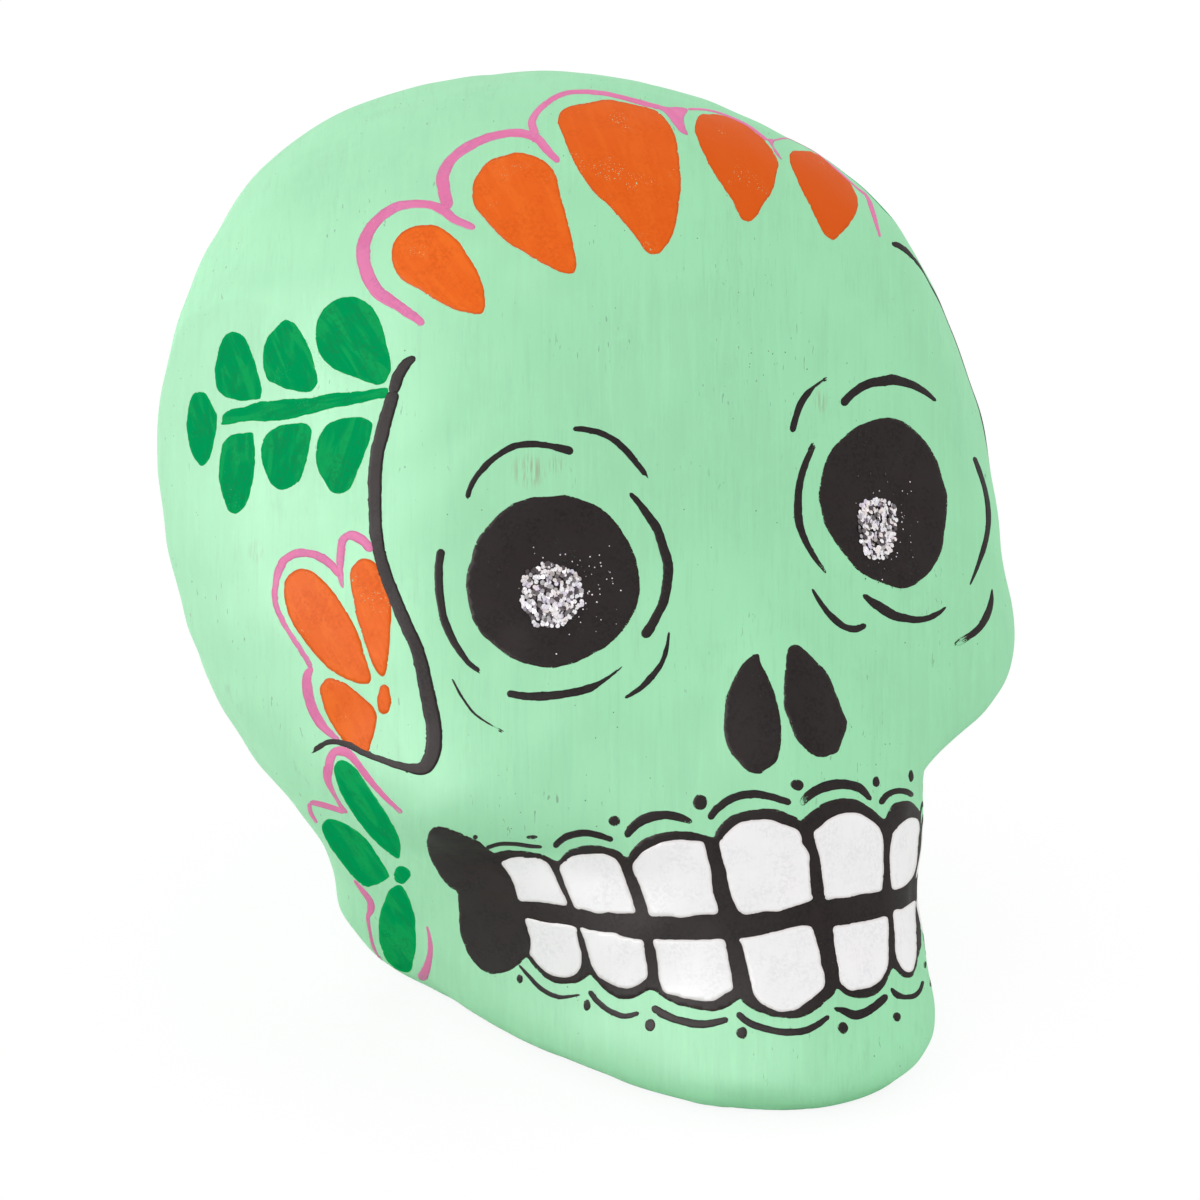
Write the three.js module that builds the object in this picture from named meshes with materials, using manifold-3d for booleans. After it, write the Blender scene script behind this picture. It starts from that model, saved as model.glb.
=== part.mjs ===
// A hand-painted papier-mâché skull that stands on a flat base. Millimetres, +Z up, the face
// looks towards -Y, and the skull's own right side is -X.
// Two moulded paper halves meet at a seam across the crown. Paper strips pasted inside hold
// them together, a card closes the bottom, a sheet of paper covers the card, and each eye
// holds a dab of glitter.
import * as THREE from 'three';
import { ParametricGeometry } from 'three/addons/geometries/ParametricGeometry.js';
import { mergeVertices } from 'three/addons/utils/BufferGeometryUtils.js';
import Module from 'manifold-3d';

const wasm = await Module();
wasm.setup();

// Overall size
const skullHeight = 224;
const skullWidth = 216;
const skullDepth = 229;

// Moulded paper halves
const shellWall = 4;
const seamFromChin = 103;
const seamGap = 0.3;

// Relief of the face, measured from the smooth skin
const eyeSocketDepth = 3.8;
const noseRise = 6;
const cheekboneRise = 7.6;
const cheekHollowDepth = 3.6;
const templeDip = 2.7;

// Paper strips pasted inside the seam
const stripWidth = 36;
const stripThickness = 0.8;
const stripButtGap = 0.3;
const pasteGap = 0.3;
const lowerStripTop = 84;
const crownStripDrop = 56;

// Closed bottom
const boardThickness = 3;
const boardGap = 0.3;
const basePaperThickness = 0.6;
const basePaperMargin = 1.5;

// Glitter in the eyes
const rightPupilFromMiddle = 50;
const leftPupilFromMiddle = 44;
const pupilHeight = 125;
const pupilRadius = 8;
const glueDabThickness = 0.6;
const pupilSeatGap = 0.3;
const flakeRadius = 1;
const flakeThickness = 0.25;

// Cutting blocks reach this far past what they cut.
const overrun = 10;

// Counts
const outerColumns = 56;
const outerRows = 42;
const innerColumns = 36;
const innerRows = 26;
const dabSides = 28;
const flakeCount = 34;

// Stations climb from the rim to the crown. Each is a loop round the skull, given on the
// midline by the height and the depth behind the chin of its front and back ends, then by its
// half width, how far back it is widest, and how full its front and back are (2 is an ellipse).
const stationShares = [
  { at: 'rim', front: [0, 0.035], back: [0, 0.715], half: 0.44, widest: 0.79, full: [2.3, 2.7] },
  { at: 'chin', front: [0.045, 0], back: [0.03, 0.72], half: 0.52, widest: 0.76, full: [2.3, 2.6] },
  { at: 'lip', front: [0.115, 0.03], back: [0.07, 0.735], half: 0.585, widest: 0.75, full: [2.1, 2.4] },
  { at: 'bite', front: [0.195, 0.065], back: [0.125, 0.76], half: 0.64, widest: 0.66, full: [1.9, 2.1] },
  { at: 'gum', front: [0.27, 0.09], back: [0.185, 0.825], half: 0.73, widest: 0.57, full: [1.9, 1.8] },
  { at: 'nostril', front: [0.35, 0.12], back: [0.26, 0.905], half: 0.85, widest: 0.49, full: [2.1, 1.8] },
  { at: 'cheek', front: [0.43, 0.165], back: [0.355, 0.96], half: 0.945, widest: 0.43, full: [2.3, 1.8] },
  { at: 'bridge', front: [0.51, 0.205], back: [0.455, 0.985], half: 0.995, widest: 0.41, full: [2.4, 1.8] },
  { at: 'eye', front: [0.59, 0.245], back: [0.565, 1], half: 1, widest: 0.41, full: [2.4, 1.9] },
  { at: 'brow', front: [0.67, 0.27], back: [0.67, 1], half: 0.965, widest: 0.4, full: [2.3, 1.9] },
  { at: 'forehead', front: [0.75, 0.305], back: [0.77, 0.99], half: 0.88, widest: 0.37, full: [2.3, 2] },
  { at: 'hairline', front: [0.825, 0.345], back: [0.86, 0.945], half: 0.76, widest: 0.34, full: [2.3, 2.1] },
  { at: 'upper dome', front: [0.9, 0.395], back: [0.92, 0.875], half: 0.585, widest: 0.33, full: [2.2, 2.3] },
  { at: 'top', front: [0.965, 0.46], back: [0.965, 0.78], half: 0.325, widest: 0.36, full: [2.1, 2.4] },
  { at: 'crown', front: [1, 0.59], back: [1, 0.59], half: 0, widest: 0.5, full: [2, 2.4] },
];

// Soft swellings and dips, each given by its centre and its spread as shares of half width,
// depth behind the chin and height. Those off the midline come in mirrored pairs.
const reliefShares = [
  { rise: -eyeSocketDepth, centre: [0.455, 0.275, 0.575], spread: [0.25, 0.13, 0.11] },
  { rise: noseRise, centre: [0, 0.125, 0.41], spread: [0.14, 0.175, 0.1] },
  { rise: cheekboneRise, centre: [0.73, 0.31, 0.36], spread: [0.235, 0.17, 0.065] },
  { rise: -cheekHollowDepth, centre: [0.51, 0.205, 0.265], spread: [0.185, 0.13, 0.037] },
  { rise: -templeDip, centre: [0.85, 0.405, 0.59], spread: [0.13, 0.105, 0.115] },
];

// The columns of facets crowd towards the face by this share of their even spacing.
const frontCrowdingShare = 0.3;
// Differences along the surface are taken over this share of a station or a radian.
const stepShare = 0.001;
const goldenAngle = Math.PI * (3 - Math.sqrt(5));
const steepestFlakeTilt = THREE.MathUtils.degToRad(32);

// Loft of the skin

const crownLevel = stationShares.length - 1;
const lastBeforeCrown = stationShares[crownLevel - 1];
// One more station lies past the crown with front and back swapped, so the top stays smooth.
const pastCrown = {
  front: lastBeforeCrown.back,
  back: lastBeforeCrown.front,
  half: -lastBeforeCrown.half,
  widest: lastBeforeCrown.widest,
  full: lastBeforeCrown.full,
};
const stations = [...stationShares, pastCrown];

function lineThrough(pointOf) {
  return new THREE.CatmullRomCurve3(stations.map(pointOf), false, 'catmullrom', 0.5);
}

function midlinePoint([heightShare, depthShare]) {
  return new THREE.Vector3(0, depthShare * skullDepth, heightShare * skullHeight);
}

const frontLine = lineThrough((station) => midlinePoint(station.front));
const backLine = lineThrough((station) => midlinePoint(station.back));
const breadthLine = lineThrough(
  (station) => new THREE.Vector3((station.half * skullWidth) / 2, station.widest, 0),
);
const fullnessLine = lineThrough((station) => new THREE.Vector3(station.full[0], station.full[1], 0));

// Angle 0 is the front and a quarter turn is the left side, +X.
function loftPoint(level, angle) {
  const along = level / (stations.length - 1);
  const front = frontLine.getPoint(along);
  const back = backLine.getPoint(along);
  const breadth = breadthLine.getPoint(along);
  const fullness = fullnessLine.getPoint(along);
  const forward = Math.cos(angle);
  const sideways = Math.sin(angle);
  const power = forward > 0 ? fullness.x : fullness.y;
  const reach = (Math.abs(forward) ** power + Math.abs(sideways) ** power) ** (-1 / power);
  const end = forward > 0 ? front : back;
  const point = new THREE.Vector3().lerpVectors(front, back, breadth.y);
  point.lerp(end, Math.abs(forward) * reach);
  point.x = breadth.x * sideways * reach;
  return point;
}

function outwardAt(level, angle) {
  if (level >= crownLevel - stepShare) {
    return new THREE.Vector3(0, 0, 1);
  }
  const across = loftPoint(level, angle + stepShare).sub(loftPoint(level, angle - stepShare));
  const upward = loftPoint(level + stepShare, angle).sub(loftPoint(Math.max(level - stepShare, 0), angle));
  return across.cross(upward).normalize();
}

function reliefAt(point) {
  let rise = 0;
  for (const feature of reliefShares) {
    const [side, depth, height] = feature.centre;
    const [sideSpread, depthSpread, heightSpread] = feature.spread;
    const sides = side === 0 ? [0] : [side, -side];
    for (const place of sides) {
      const acrossRatio = (point.x / (skullWidth / 2) - place) / sideSpread;
      const depthRatio = (point.y / skullDepth - depth) / depthSpread;
      const heightRatio = (point.z / skullHeight - height) / heightSpread;
      rise += feature.rise * Math.exp(-(acrossRatio ** 2 + depthRatio ** 2 + heightRatio ** 2));
    }
  }
  return rise;
}

// A point that lies the given distance under the moulded skin.
function skinPoint(level, angle, under) {
  const point = loftPoint(level, angle);
  const rise = reliefAt(point) - under;
  return point.addScaledVector(outwardAt(level, angle), rise);
}

function columnAngle(around) {
  const turn = 2 * Math.PI * around;
  return turn - frontCrowdingShare * Math.sin(turn);
}

// Solids

function solidFrom(geometry) {
  const bare = geometry.clone();
  bare.deleteAttribute('normal');
  bare.deleteAttribute('uv');
  const merged = mergeVertices(bare);
  const corners = merged.index.array;
  const kept = [];
  for (let i = 0; i < corners.length; i += 3) {
    const [a, b, c] = [corners[i], corners[i + 1], corners[i + 2]];
    if (a !== b && b !== c && c !== a) {
      kept.push(a, b, c);
    }
  }
  const vertProperties = Float32Array.from(merged.getAttribute('position').array);
  const triVerts = Uint32Array.from(kept);
  return new wasm.Manifold(new wasm.Mesh({ numProp: 3, vertProperties, triVerts }));
}

function geometryFrom(solid) {
  const { vertProperties, triVerts } = solid.getMesh();
  const geometry = new THREE.BufferGeometry();
  geometry.setAttribute('position', new THREE.BufferAttribute(vertProperties, 3));
  geometry.setIndex(new THREE.BufferAttribute(triVerts, 1));
  geometry.computeVertexNormals();
  return geometry;
}

function block(low, high) {
  const size = new THREE.Vector3().subVectors(high, low);
  const geometry = new THREE.BoxGeometry(size.x, size.y, size.z);
  const middle = new THREE.Vector3().lerpVectors(low, high, 0.5);
  geometry.translate(middle.x, middle.y, middle.z);
  return solidFrom(geometry);
}

// Everything inside the skin at the given depth under it, run straight down past the rim.
function bodyUnder(under, columns, rows) {
  const skirtRows = 2;
  const stacks = rows + skirtRows;
  const place = (around, up, target) => {
    const row = Math.round(up * stacks);
    const level = (Math.max(row - skirtRows, 0) / rows) * crownLevel;
    target.copy(skinPoint(level, columnAngle(around), under));
    if (row < skirtRows) {
      target.z = -overrun;
    }
    if (row === 0) {
      target.setX(0);
      target.setY(seamFromChin);
    }
  };
  return solidFrom(new ParametricGeometry(place, columns, stacks));
}

// A flat sheet that fills the rim's outline at the given depth under the skin.
function rimSheet(under, columns, thickness) {
  const outline = [];
  for (let column = 0; column < columns; column += 1) {
    const point = skinPoint(0, columnAngle(column / columns), under);
    outline.push(new THREE.Vector2(point.x, point.y));
  }
  return new THREE.ExtrudeGeometry(new THREE.Shape(outline), { depth: thickness, bevelEnabled: false });
}

// Pieces

const widestReach = skullWidth + overrun;
const highestReach = skullHeight + overrun;
const frontReach = -overrun;
const backReach = skullDepth + overrun;
const seamFront = seamFromChin - seamGap / 2;
const seamBack = seamFromChin + seamGap / 2;

function shellHalf(wall, nearDepth, farDepth) {
  const room = block(
    new THREE.Vector3(-widestReach, nearDepth, basePaperThickness),
    new THREE.Vector3(widestReach, farDepth, highestReach),
  );
  return geometryFrom(wall.intersect(room));
}

function seamStrip(layer, nearSide, farSide, bottom, top) {
  const room = block(
    new THREE.Vector3(nearSide, seamFromChin - stripWidth / 2, bottom),
    new THREE.Vector3(farSide, seamFromChin + stripWidth / 2, top),
  );
  return geometryFrom(layer.intersect(room));
}

// A dab of glue with hexagonal flakes standing in it, lying on the plane z = 0.
function glitterDab() {
  const dab = new THREE.CylinderGeometry(pupilRadius, pupilRadius, glueDabThickness, dabSides);
  dab.rotateX(Math.PI / 2);
  dab.translate(0, 0, glueDabThickness / 2);
  let pupil = solidFrom(dab);
  const outermost = pupilRadius - flakeRadius;
  for (let number = 0; number < flakeCount; number += 1) {
    const turn = number * goldenAngle;
    const distance = outermost * Math.sqrt((number + 0.5) / flakeCount);
    const flake = new THREE.CylinderGeometry(flakeRadius, flakeRadius, flakeThickness, 6);
    flake.rotateX(Math.PI / 2 + steepestFlakeTilt * Math.sin(7 * turn));
    flake.rotateY(steepestFlakeTilt * Math.cos(5 * turn));
    flake.rotateZ(3 * turn);
    flake.translate(distance * Math.cos(turn), distance * Math.sin(turn), glueDabThickness);
    pupil = pupil.add(solidFrom(flake));
  }
  return geometryFrom(pupil);
}

// Rays from in front of the face find the skin that a pupil is seated on.
function seatOnFace(pupil, face, fromMiddle) {
  const caster = new THREE.Raycaster();
  const backwards = new THREE.Vector3(0, 1, 0);
  const skinBehind = (x, z) => {
    caster.set(new THREE.Vector3(x, frontReach, z), backwards);
    return caster.intersectObject(face)[0].point;
  };
  const centre = skinBehind(fromMiddle, pupilHeight);
  const edges = [
    skinBehind(fromMiddle - pupilRadius, pupilHeight),
    skinBehind(fromMiddle + pupilRadius, pupilHeight),
    skinBehind(fromMiddle, pupilHeight - pupilRadius),
    skinBehind(fromMiddle, pupilHeight + pupilRadius),
  ];
  const across = edges[1].clone().sub(edges[0]);
  const upward = edges[3].clone().sub(edges[2]);
  const outward = across.cross(upward).normalize();
  const heights = edges.map((edge) => edge.clone().sub(centre).dot(outward));
  const highest = Math.max(0, ...heights);
  pupil.position.copy(centre).addScaledVector(outward, highest + pupilSeatGap);
  pupil.quaternion.setFromUnitVectors(new THREE.Vector3(0, 0, 1), outward);
}

// Materials

function finish(colour, roughness, metalness = 0) {
  return new THREE.MeshStandardMaterial({ color: colour, roughness, metalness });
}

const mintPaint = () => finish(0xb0e8c4, 0.75);
const newsprint = () => finish(0xd8d2c2, 0.95);
const greyBoard = () => finish(0xb7a88c, 0.9);
const silverGlitter = () => finish(0xe6e2d8, 0.3, 0.8);

// Assembly

const skull = new THREE.Group();

function addPiece(name, geometry, material) {
  const piece = new THREE.Mesh(geometry, material);
  piece.name = name;
  skull.add(piece);
  return piece;
}

const outside = bodyUnder(0, outerColumns, outerRows);
const inside = bodyUnder(shellWall, innerColumns, innerRows);
const wall = outside.subtract(inside);
const faceShell = addPiece('face_shell', shellHalf(wall, frontReach, seamFront), mintPaint());
addPiece('rear_shell', shellHalf(wall, seamBack, backReach), mintPaint());

const pastedSide = bodyUnder(shellWall + pasteGap, innerColumns, innerRows);
const freeSide = bodyUnder(shellWall + pasteGap + stripThickness, innerColumns, innerRows);
const stripLayer = pastedSide.subtract(freeSide);
const stripBottom = basePaperThickness + boardThickness + boardGap;
const upperStripBottom = lowerStripTop + stripButtGap;
const crownStripBottom = skullHeight - crownStripDrop;
const upperStripTop = crownStripBottom - stripButtGap;
for (const [side, nearSide, farSide] of [['right', -widestReach, 0], ['left', 0, widestReach]]) {
  addPiece(
    `${side}_lower_seam_strip`,
    seamStrip(stripLayer, nearSide, farSide, stripBottom, lowerStripTop),
    newsprint(),
  );
  addPiece(
    `${side}_upper_seam_strip`,
    seamStrip(stripLayer, nearSide, farSide, upperStripBottom, upperStripTop),
    newsprint(),
  );
}
addPiece(
  'crown_seam_strip',
  seamStrip(stripLayer, -widestReach, widestReach, crownStripBottom, highestReach),
  newsprint(),
);

addPiece('base_paper', rimSheet(basePaperMargin, outerColumns, basePaperThickness), mintPaint());
const boardSheet = rimSheet(shellWall + boardGap, innerColumns, boardThickness);
const board = addPiece('base_board', boardSheet, greyBoard());
board.position.z = basePaperThickness;

const rightPupil = addPiece('right_glitter_pupil', glitterDab(), silverGlitter());
seatOnFace(rightPupil, faceShell, -rightPupilFromMiddle);
const leftPupil = addPiece('left_glitter_pupil', glitterDab(), silverGlitter());
seatOnFace(leftPupil, faceShell, leftPupilFromMiddle);

// The origin is the middle of the base of the whole skull's bounding box.
const bounds = new THREE.Box3().setFromObject(skull);
skull.position.y = -(bounds.min.y + bounds.max.y) / 2;
skull.updateMatrixWorld(true);

export default skull;
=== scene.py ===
"""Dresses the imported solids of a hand-painted papier-mache skull.

The moulded halves get their hand-laid lumps, every brush mark is a thin closed film of paint
that lies on the skin, and the eyes get loose flakes of glitter. Metres, +Z up, the face looks
towards -Y, and the skull's own right side is -X. Sizes with MM are given in millimetres.
"""
import functools
import math
import random

import bmesh
import bpy
import numpy as np
from bpy.props import FloatProperty, FloatVectorProperty, IntProperty, PointerProperty
from mathutils import Matrix, Vector, geometry, interpolate
from mathutils.bvhtree import BVHTree


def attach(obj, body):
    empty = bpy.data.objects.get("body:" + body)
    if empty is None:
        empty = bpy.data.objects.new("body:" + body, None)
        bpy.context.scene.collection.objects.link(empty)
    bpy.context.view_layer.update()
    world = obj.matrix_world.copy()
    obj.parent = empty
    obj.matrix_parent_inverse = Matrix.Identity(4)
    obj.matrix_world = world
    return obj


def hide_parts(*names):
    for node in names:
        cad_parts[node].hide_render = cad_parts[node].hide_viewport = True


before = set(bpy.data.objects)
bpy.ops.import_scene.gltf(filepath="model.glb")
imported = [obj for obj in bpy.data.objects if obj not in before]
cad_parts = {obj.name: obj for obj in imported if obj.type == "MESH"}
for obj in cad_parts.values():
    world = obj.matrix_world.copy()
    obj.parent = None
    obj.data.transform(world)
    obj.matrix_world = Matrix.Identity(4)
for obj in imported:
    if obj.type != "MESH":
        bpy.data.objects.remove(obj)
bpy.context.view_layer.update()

bl_info = {
    "name": "Painted papier-mache skull",
    "version": (1, 0, 0),
    "blender": (4, 5, 0),
    "location": "3D View > Sidebar > Skull",
    "description": "Moulded paper skin, brushed paint, glitter and studio for a painted skull",
    "category": "Object",
}

MM = 0.001
BODY = "root"

# Form of the skin, as in the part's source. Stations climb from the rim to the crown: front end
# and back end on the midline (height, depth behind the chin), half width, how far back it is
# widest, and how full its front and back are. All but the last two are shares of the size.
SKULL_HEIGHT = 224 * MM
SKULL_WIDTH = 216 * MM
SKULL_DEPTH = 229 * MM
MIDDLE_BEHIND_CHIN = 114.67 * MM
SEAM_BEHIND_CHIN = 103 * MM
REST_HEIGHT = 0.6 * MM
STATIONS = (
    (0.000, 0.035, 0.000, 0.715, 0.440, 0.79, 2.3, 2.7),
    (0.045, 0.000, 0.030, 0.720, 0.520, 0.76, 2.3, 2.6),
    (0.115, 0.030, 0.070, 0.735, 0.585, 0.75, 2.1, 2.4),
    (0.195, 0.065, 0.125, 0.760, 0.640, 0.66, 1.9, 2.1),
    (0.270, 0.090, 0.185, 0.825, 0.730, 0.57, 1.9, 1.8),
    (0.350, 0.120, 0.260, 0.905, 0.850, 0.49, 2.1, 1.8),
    (0.430, 0.165, 0.355, 0.960, 0.945, 0.43, 2.3, 1.8),
    (0.510, 0.205, 0.455, 0.985, 0.995, 0.41, 2.4, 1.8),
    (0.590, 0.245, 0.565, 1.000, 1.000, 0.41, 2.4, 1.9),
    (0.670, 0.270, 0.670, 1.000, 0.965, 0.40, 2.3, 1.9),
    (0.750, 0.305, 0.770, 0.990, 0.880, 0.37, 2.3, 2.0),
    (0.825, 0.345, 0.860, 0.945, 0.760, 0.34, 2.3, 2.1),
    (0.900, 0.395, 0.920, 0.875, 0.585, 0.33, 2.2, 2.3),
    (0.965, 0.460, 0.965, 0.780, 0.325, 0.36, 2.1, 2.4),
    (1.000, 0.590, 1.000, 0.590, 0.000, 0.50, 2.0, 2.4),
)
# Rise in millimetres, then centre and spread as shares of half width, depth and height.
RELIEF = (
    (-3.8, (0.455, 0.275, 0.575), (0.25, 0.13, 0.11)),
    (6.0, (0.0, 0.125, 0.41), (0.14, 0.175, 0.1)),
    (7.6, (0.73, 0.31, 0.36), (0.235, 0.17, 0.065)),
    (-3.6, (0.51, 0.205, 0.265), (0.185, 0.13, 0.037)),
    (-2.7, (0.85, 0.405, 0.59), (0.13, 0.105, 0.115)),
    (-1.5, (0.34, 0.13, 0.132), (0.11, 0.08, 0.045)),
)
# Wavelengths of the hand-laid lumps in millimetres, and how strong each is
LUMP_WAVES = ((62, 0.8), (44, 0.7), (33, 0.6), (26, 0.5), (19, 0.38), (14, 0.24), (11, 0.12))
LUMP_DIRECTIONS = 4
LUMP_TOTAL = 2.6
# The fine skin's columns round the skull, closer together in front, and its rows
COLUMNS = 512
FRONT_CROWDING = 0.2
OUTER_ROWS = 280
INNER_ROWS = 48

# The photograph's camera. Pixels count from the top left of its 1200 x 1200 frame.
FRAME_PIXELS = 1200
FOCAL_PIXELS = 8800
SENSOR_WIDTH = 36
CAMERA_TURN = math.radians(33)
CAMERA_RISE = math.radians(21)
CAMERA_DISTANCE = 2.2
CAMERA_AIM = Vector((3.8, 8.6, 93.4)) * MM
CAMERA_RIGHT = Vector((math.cos(CAMERA_TURN), -math.sin(CAMERA_TURN), 0))
CAMERA_BACK = Vector((
    -math.sin(CAMERA_TURN) * math.cos(CAMERA_RISE),
    -math.cos(CAMERA_TURN) * math.cos(CAMERA_RISE),
    math.sin(CAMERA_RISE),
))
CAMERA_UP = CAMERA_BACK.cross(CAMERA_RIGHT)
CAMERA_EYE = CAMERA_AIM + CAMERA_BACK * CAMERA_DISTANCE
SKULL_MIDDLE_PIXEL = (575, 590)
# How often, and by what share of the way to the middle, a pixel off the outline is moved inwards
SIGHT_TRIES = 400
SIGHT_STEP = 0.0008
PIXELS_PER_MM = 4

# The unseen side carries mirror images of what the photograph shows: how far off the middle the
# mirror stands, how far back round the head the image moves at the brow, the most that it does
# further down, how much lower it lies at the mouth's bottom, and more for each step up.
MIRROR_BROW = 181 * MM
MIRROR_TURN = 100 * MM
MIRROR_LEAN = 0.9
MOUTH_BOTTOM = 29 * MM
MOUTH_MIRROR = (2.4 * MM, 0, 0, 6 * MM, 0.27)
TEMPLE_MIRROR = (0, 7 * MM, 36 * MM, 0, 0)
LEAF_MIRROR = (0, 23 * MM, 38 * MM, 0, 0)


def srgb(red, green, blue):
    """The linear colour of screen values from 0 to 255."""
    linear = []
    for part in (red / 255, green / 255, blue / 255):
        linear.append(part / 12.92 if part <= 0.04045 else ((part + 0.055) / 1.055) ** 2.4)
    return tuple(linear)


class SkullForm(bpy.types.PropertyGroup):
    """Sizes of the moulded paper and of the paint on it."""

    wall: FloatProperty(
        name="Wall", description="Thickness of the moulded paper", default=4 * MM, unit="LENGTH"
    )
    lump_height: FloatProperty(
        name="Lump height",
        description="How far the hand-laid paper rises and falls",
        default=0.5 * MM,
        unit="LENGTH",
    )
    film: FloatProperty(
        name="Paint film", description="Thickness of a brush mark", default=0.045 * MM, unit="LENGTH"
    )
    flake_width: FloatProperty(
        name="Flake width", description="Width of a glitter flake", default=1.25 * MM, unit="LENGTH"
    )
    flakes: IntProperty(name="Flakes", description="Glitter flakes in each eye", default=235, min=1)


def colour_setting(name, description, screen_values):
    """A colour property whose default is given as screen values."""
    return FloatVectorProperty(
        name=name, description=description, default=srgb(*screen_values), subtype="COLOR", min=0, max=1
    )


class SkullPaints(bpy.types.PropertyGroup):
    """Colours of the paints."""

    mint: colour_setting("Mint", "Ground colour of the skull", (157, 228, 178))
    orange: colour_setting("Orange", "Petals", (247, 109, 32))
    green: colour_setting("Green", "Leaves", (0, 160, 91))
    pink: colour_setting("Pink", "Scallops", (235, 124, 174))
    black: colour_setting("Black", "Eyes, nose, mouth and lines", (46, 40, 40))
    white: colour_setting("White", "Teeth", (252, 250, 251))


class SkullLight(bpy.types.PropertyGroup):
    """Studio light."""

    key: FloatProperty(name="Key", description="Power of the soft lamp", default=0.2, unit="POWER")
    sheen: FloatProperty(
        name="Sheen", description="Power of the soft lamp that only glosses show", default=150, unit="POWER"
    )
    fill: FloatProperty(name="Fill", description="Strength of the even light round the skull", default=0.93)


# Skin


def between(a, b, c, d, share):
    """Smooth values from b to c, with a before them and d after them."""
    return 0.5 * (
        2 * b
        + (c - a) * share
        + (2 * a - 5 * b + 4 * c - d) * share**2
        + (3 * b - a - 3 * c + d) * share**3
    )


def station_values(levels):
    """The stations' values at levels from 0 at the rim to 1 at the crown."""
    rows = np.array(STATIONS)
    # One more station lies past the crown with front and back swapped, so the top stays smooth.
    past = rows[-2].copy()
    past[[0, 1, 2, 3]] = rows[-2][[2, 3, 0, 1]]
    past[4] = -rows[-2][4]
    rows = np.vstack([2 * rows[0] - rows[1], rows, past])
    place = levels * (len(STATIONS) - 1)
    below = np.minimum(place.astype(int), len(STATIONS) - 2)
    share = (place - below)[:, None]
    return between(*(rows[below + step] for step in range(4)), share)


def loft(levels, turns):
    """Grid of points on the smooth skin. Turn 0 is the front and a quarter turn is +X."""
    values = station_values(levels)
    front_z, front_y, back_z, back_y, half, widest, full_front, full_back = values.T[:, :, None]
    forward, sideways = np.cos(turns)[None], np.sin(turns)[None]
    power = np.where(forward > 0, full_front, full_back)
    reach = (np.abs(forward) ** power + np.abs(sideways) ** power) ** (-1 / power)
    wide_y = front_y + (back_y - front_y) * widest
    wide_z = front_z + (back_z - front_z) * widest
    end_y = np.where(forward > 0, front_y, back_y) - wide_y
    end_z = np.where(forward > 0, front_z, back_z) - wide_z
    share = np.abs(forward) * reach
    return np.stack(
        [
            half * sideways * reach * SKULL_WIDTH / 2,
            (wide_y + end_y * share) * SKULL_DEPTH,
            (wide_z + end_z * share) * SKULL_HEIGHT,
        ],
        axis=-1,
    )


def grid_normals(grid):
    """Outward unit normals of a grid that closes round each row and meets at the crown."""
    across = np.roll(grid, -1, axis=1) - np.roll(grid, 1, axis=1)
    upward = np.gradient(grid, axis=0)
    outward = np.cross(across, upward)
    outward[-1] = (0, 0, 1)
    return outward / np.linalg.norm(outward, axis=-1, keepdims=True)


def relief_height(grid):
    """How far the moulded face stands off the smooth skin."""
    shares = grid / (SKULL_WIDTH / 2, SKULL_DEPTH, SKULL_HEIGHT)
    height = np.zeros(grid.shape[:-1])
    for rise, (side, depth, level), spread in RELIEF:
        for place in {side, -side}:
            away = (shares - (place, depth, level)) / spread
            height += rise * MM * np.exp(-(away**2).sum(axis=-1))
    return height


def lump_height(grid, size):
    """Slow rise and fall of paper that was laid by hand."""
    chance = np.random.default_rng(71)
    height = np.zeros(grid.shape[:-1])
    for wavelength, share in LUMP_WAVES:
        for _ in range(LUMP_DIRECTIONS):
            direction = chance.normal(size=3)
            direction /= np.linalg.norm(direction)
            wave = grid @ direction * (2 * math.pi / (wavelength * MM))
            height += share * np.sin(wave + chance.uniform(0, 2 * math.pi))
    return height * size / LUMP_TOTAL


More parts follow.
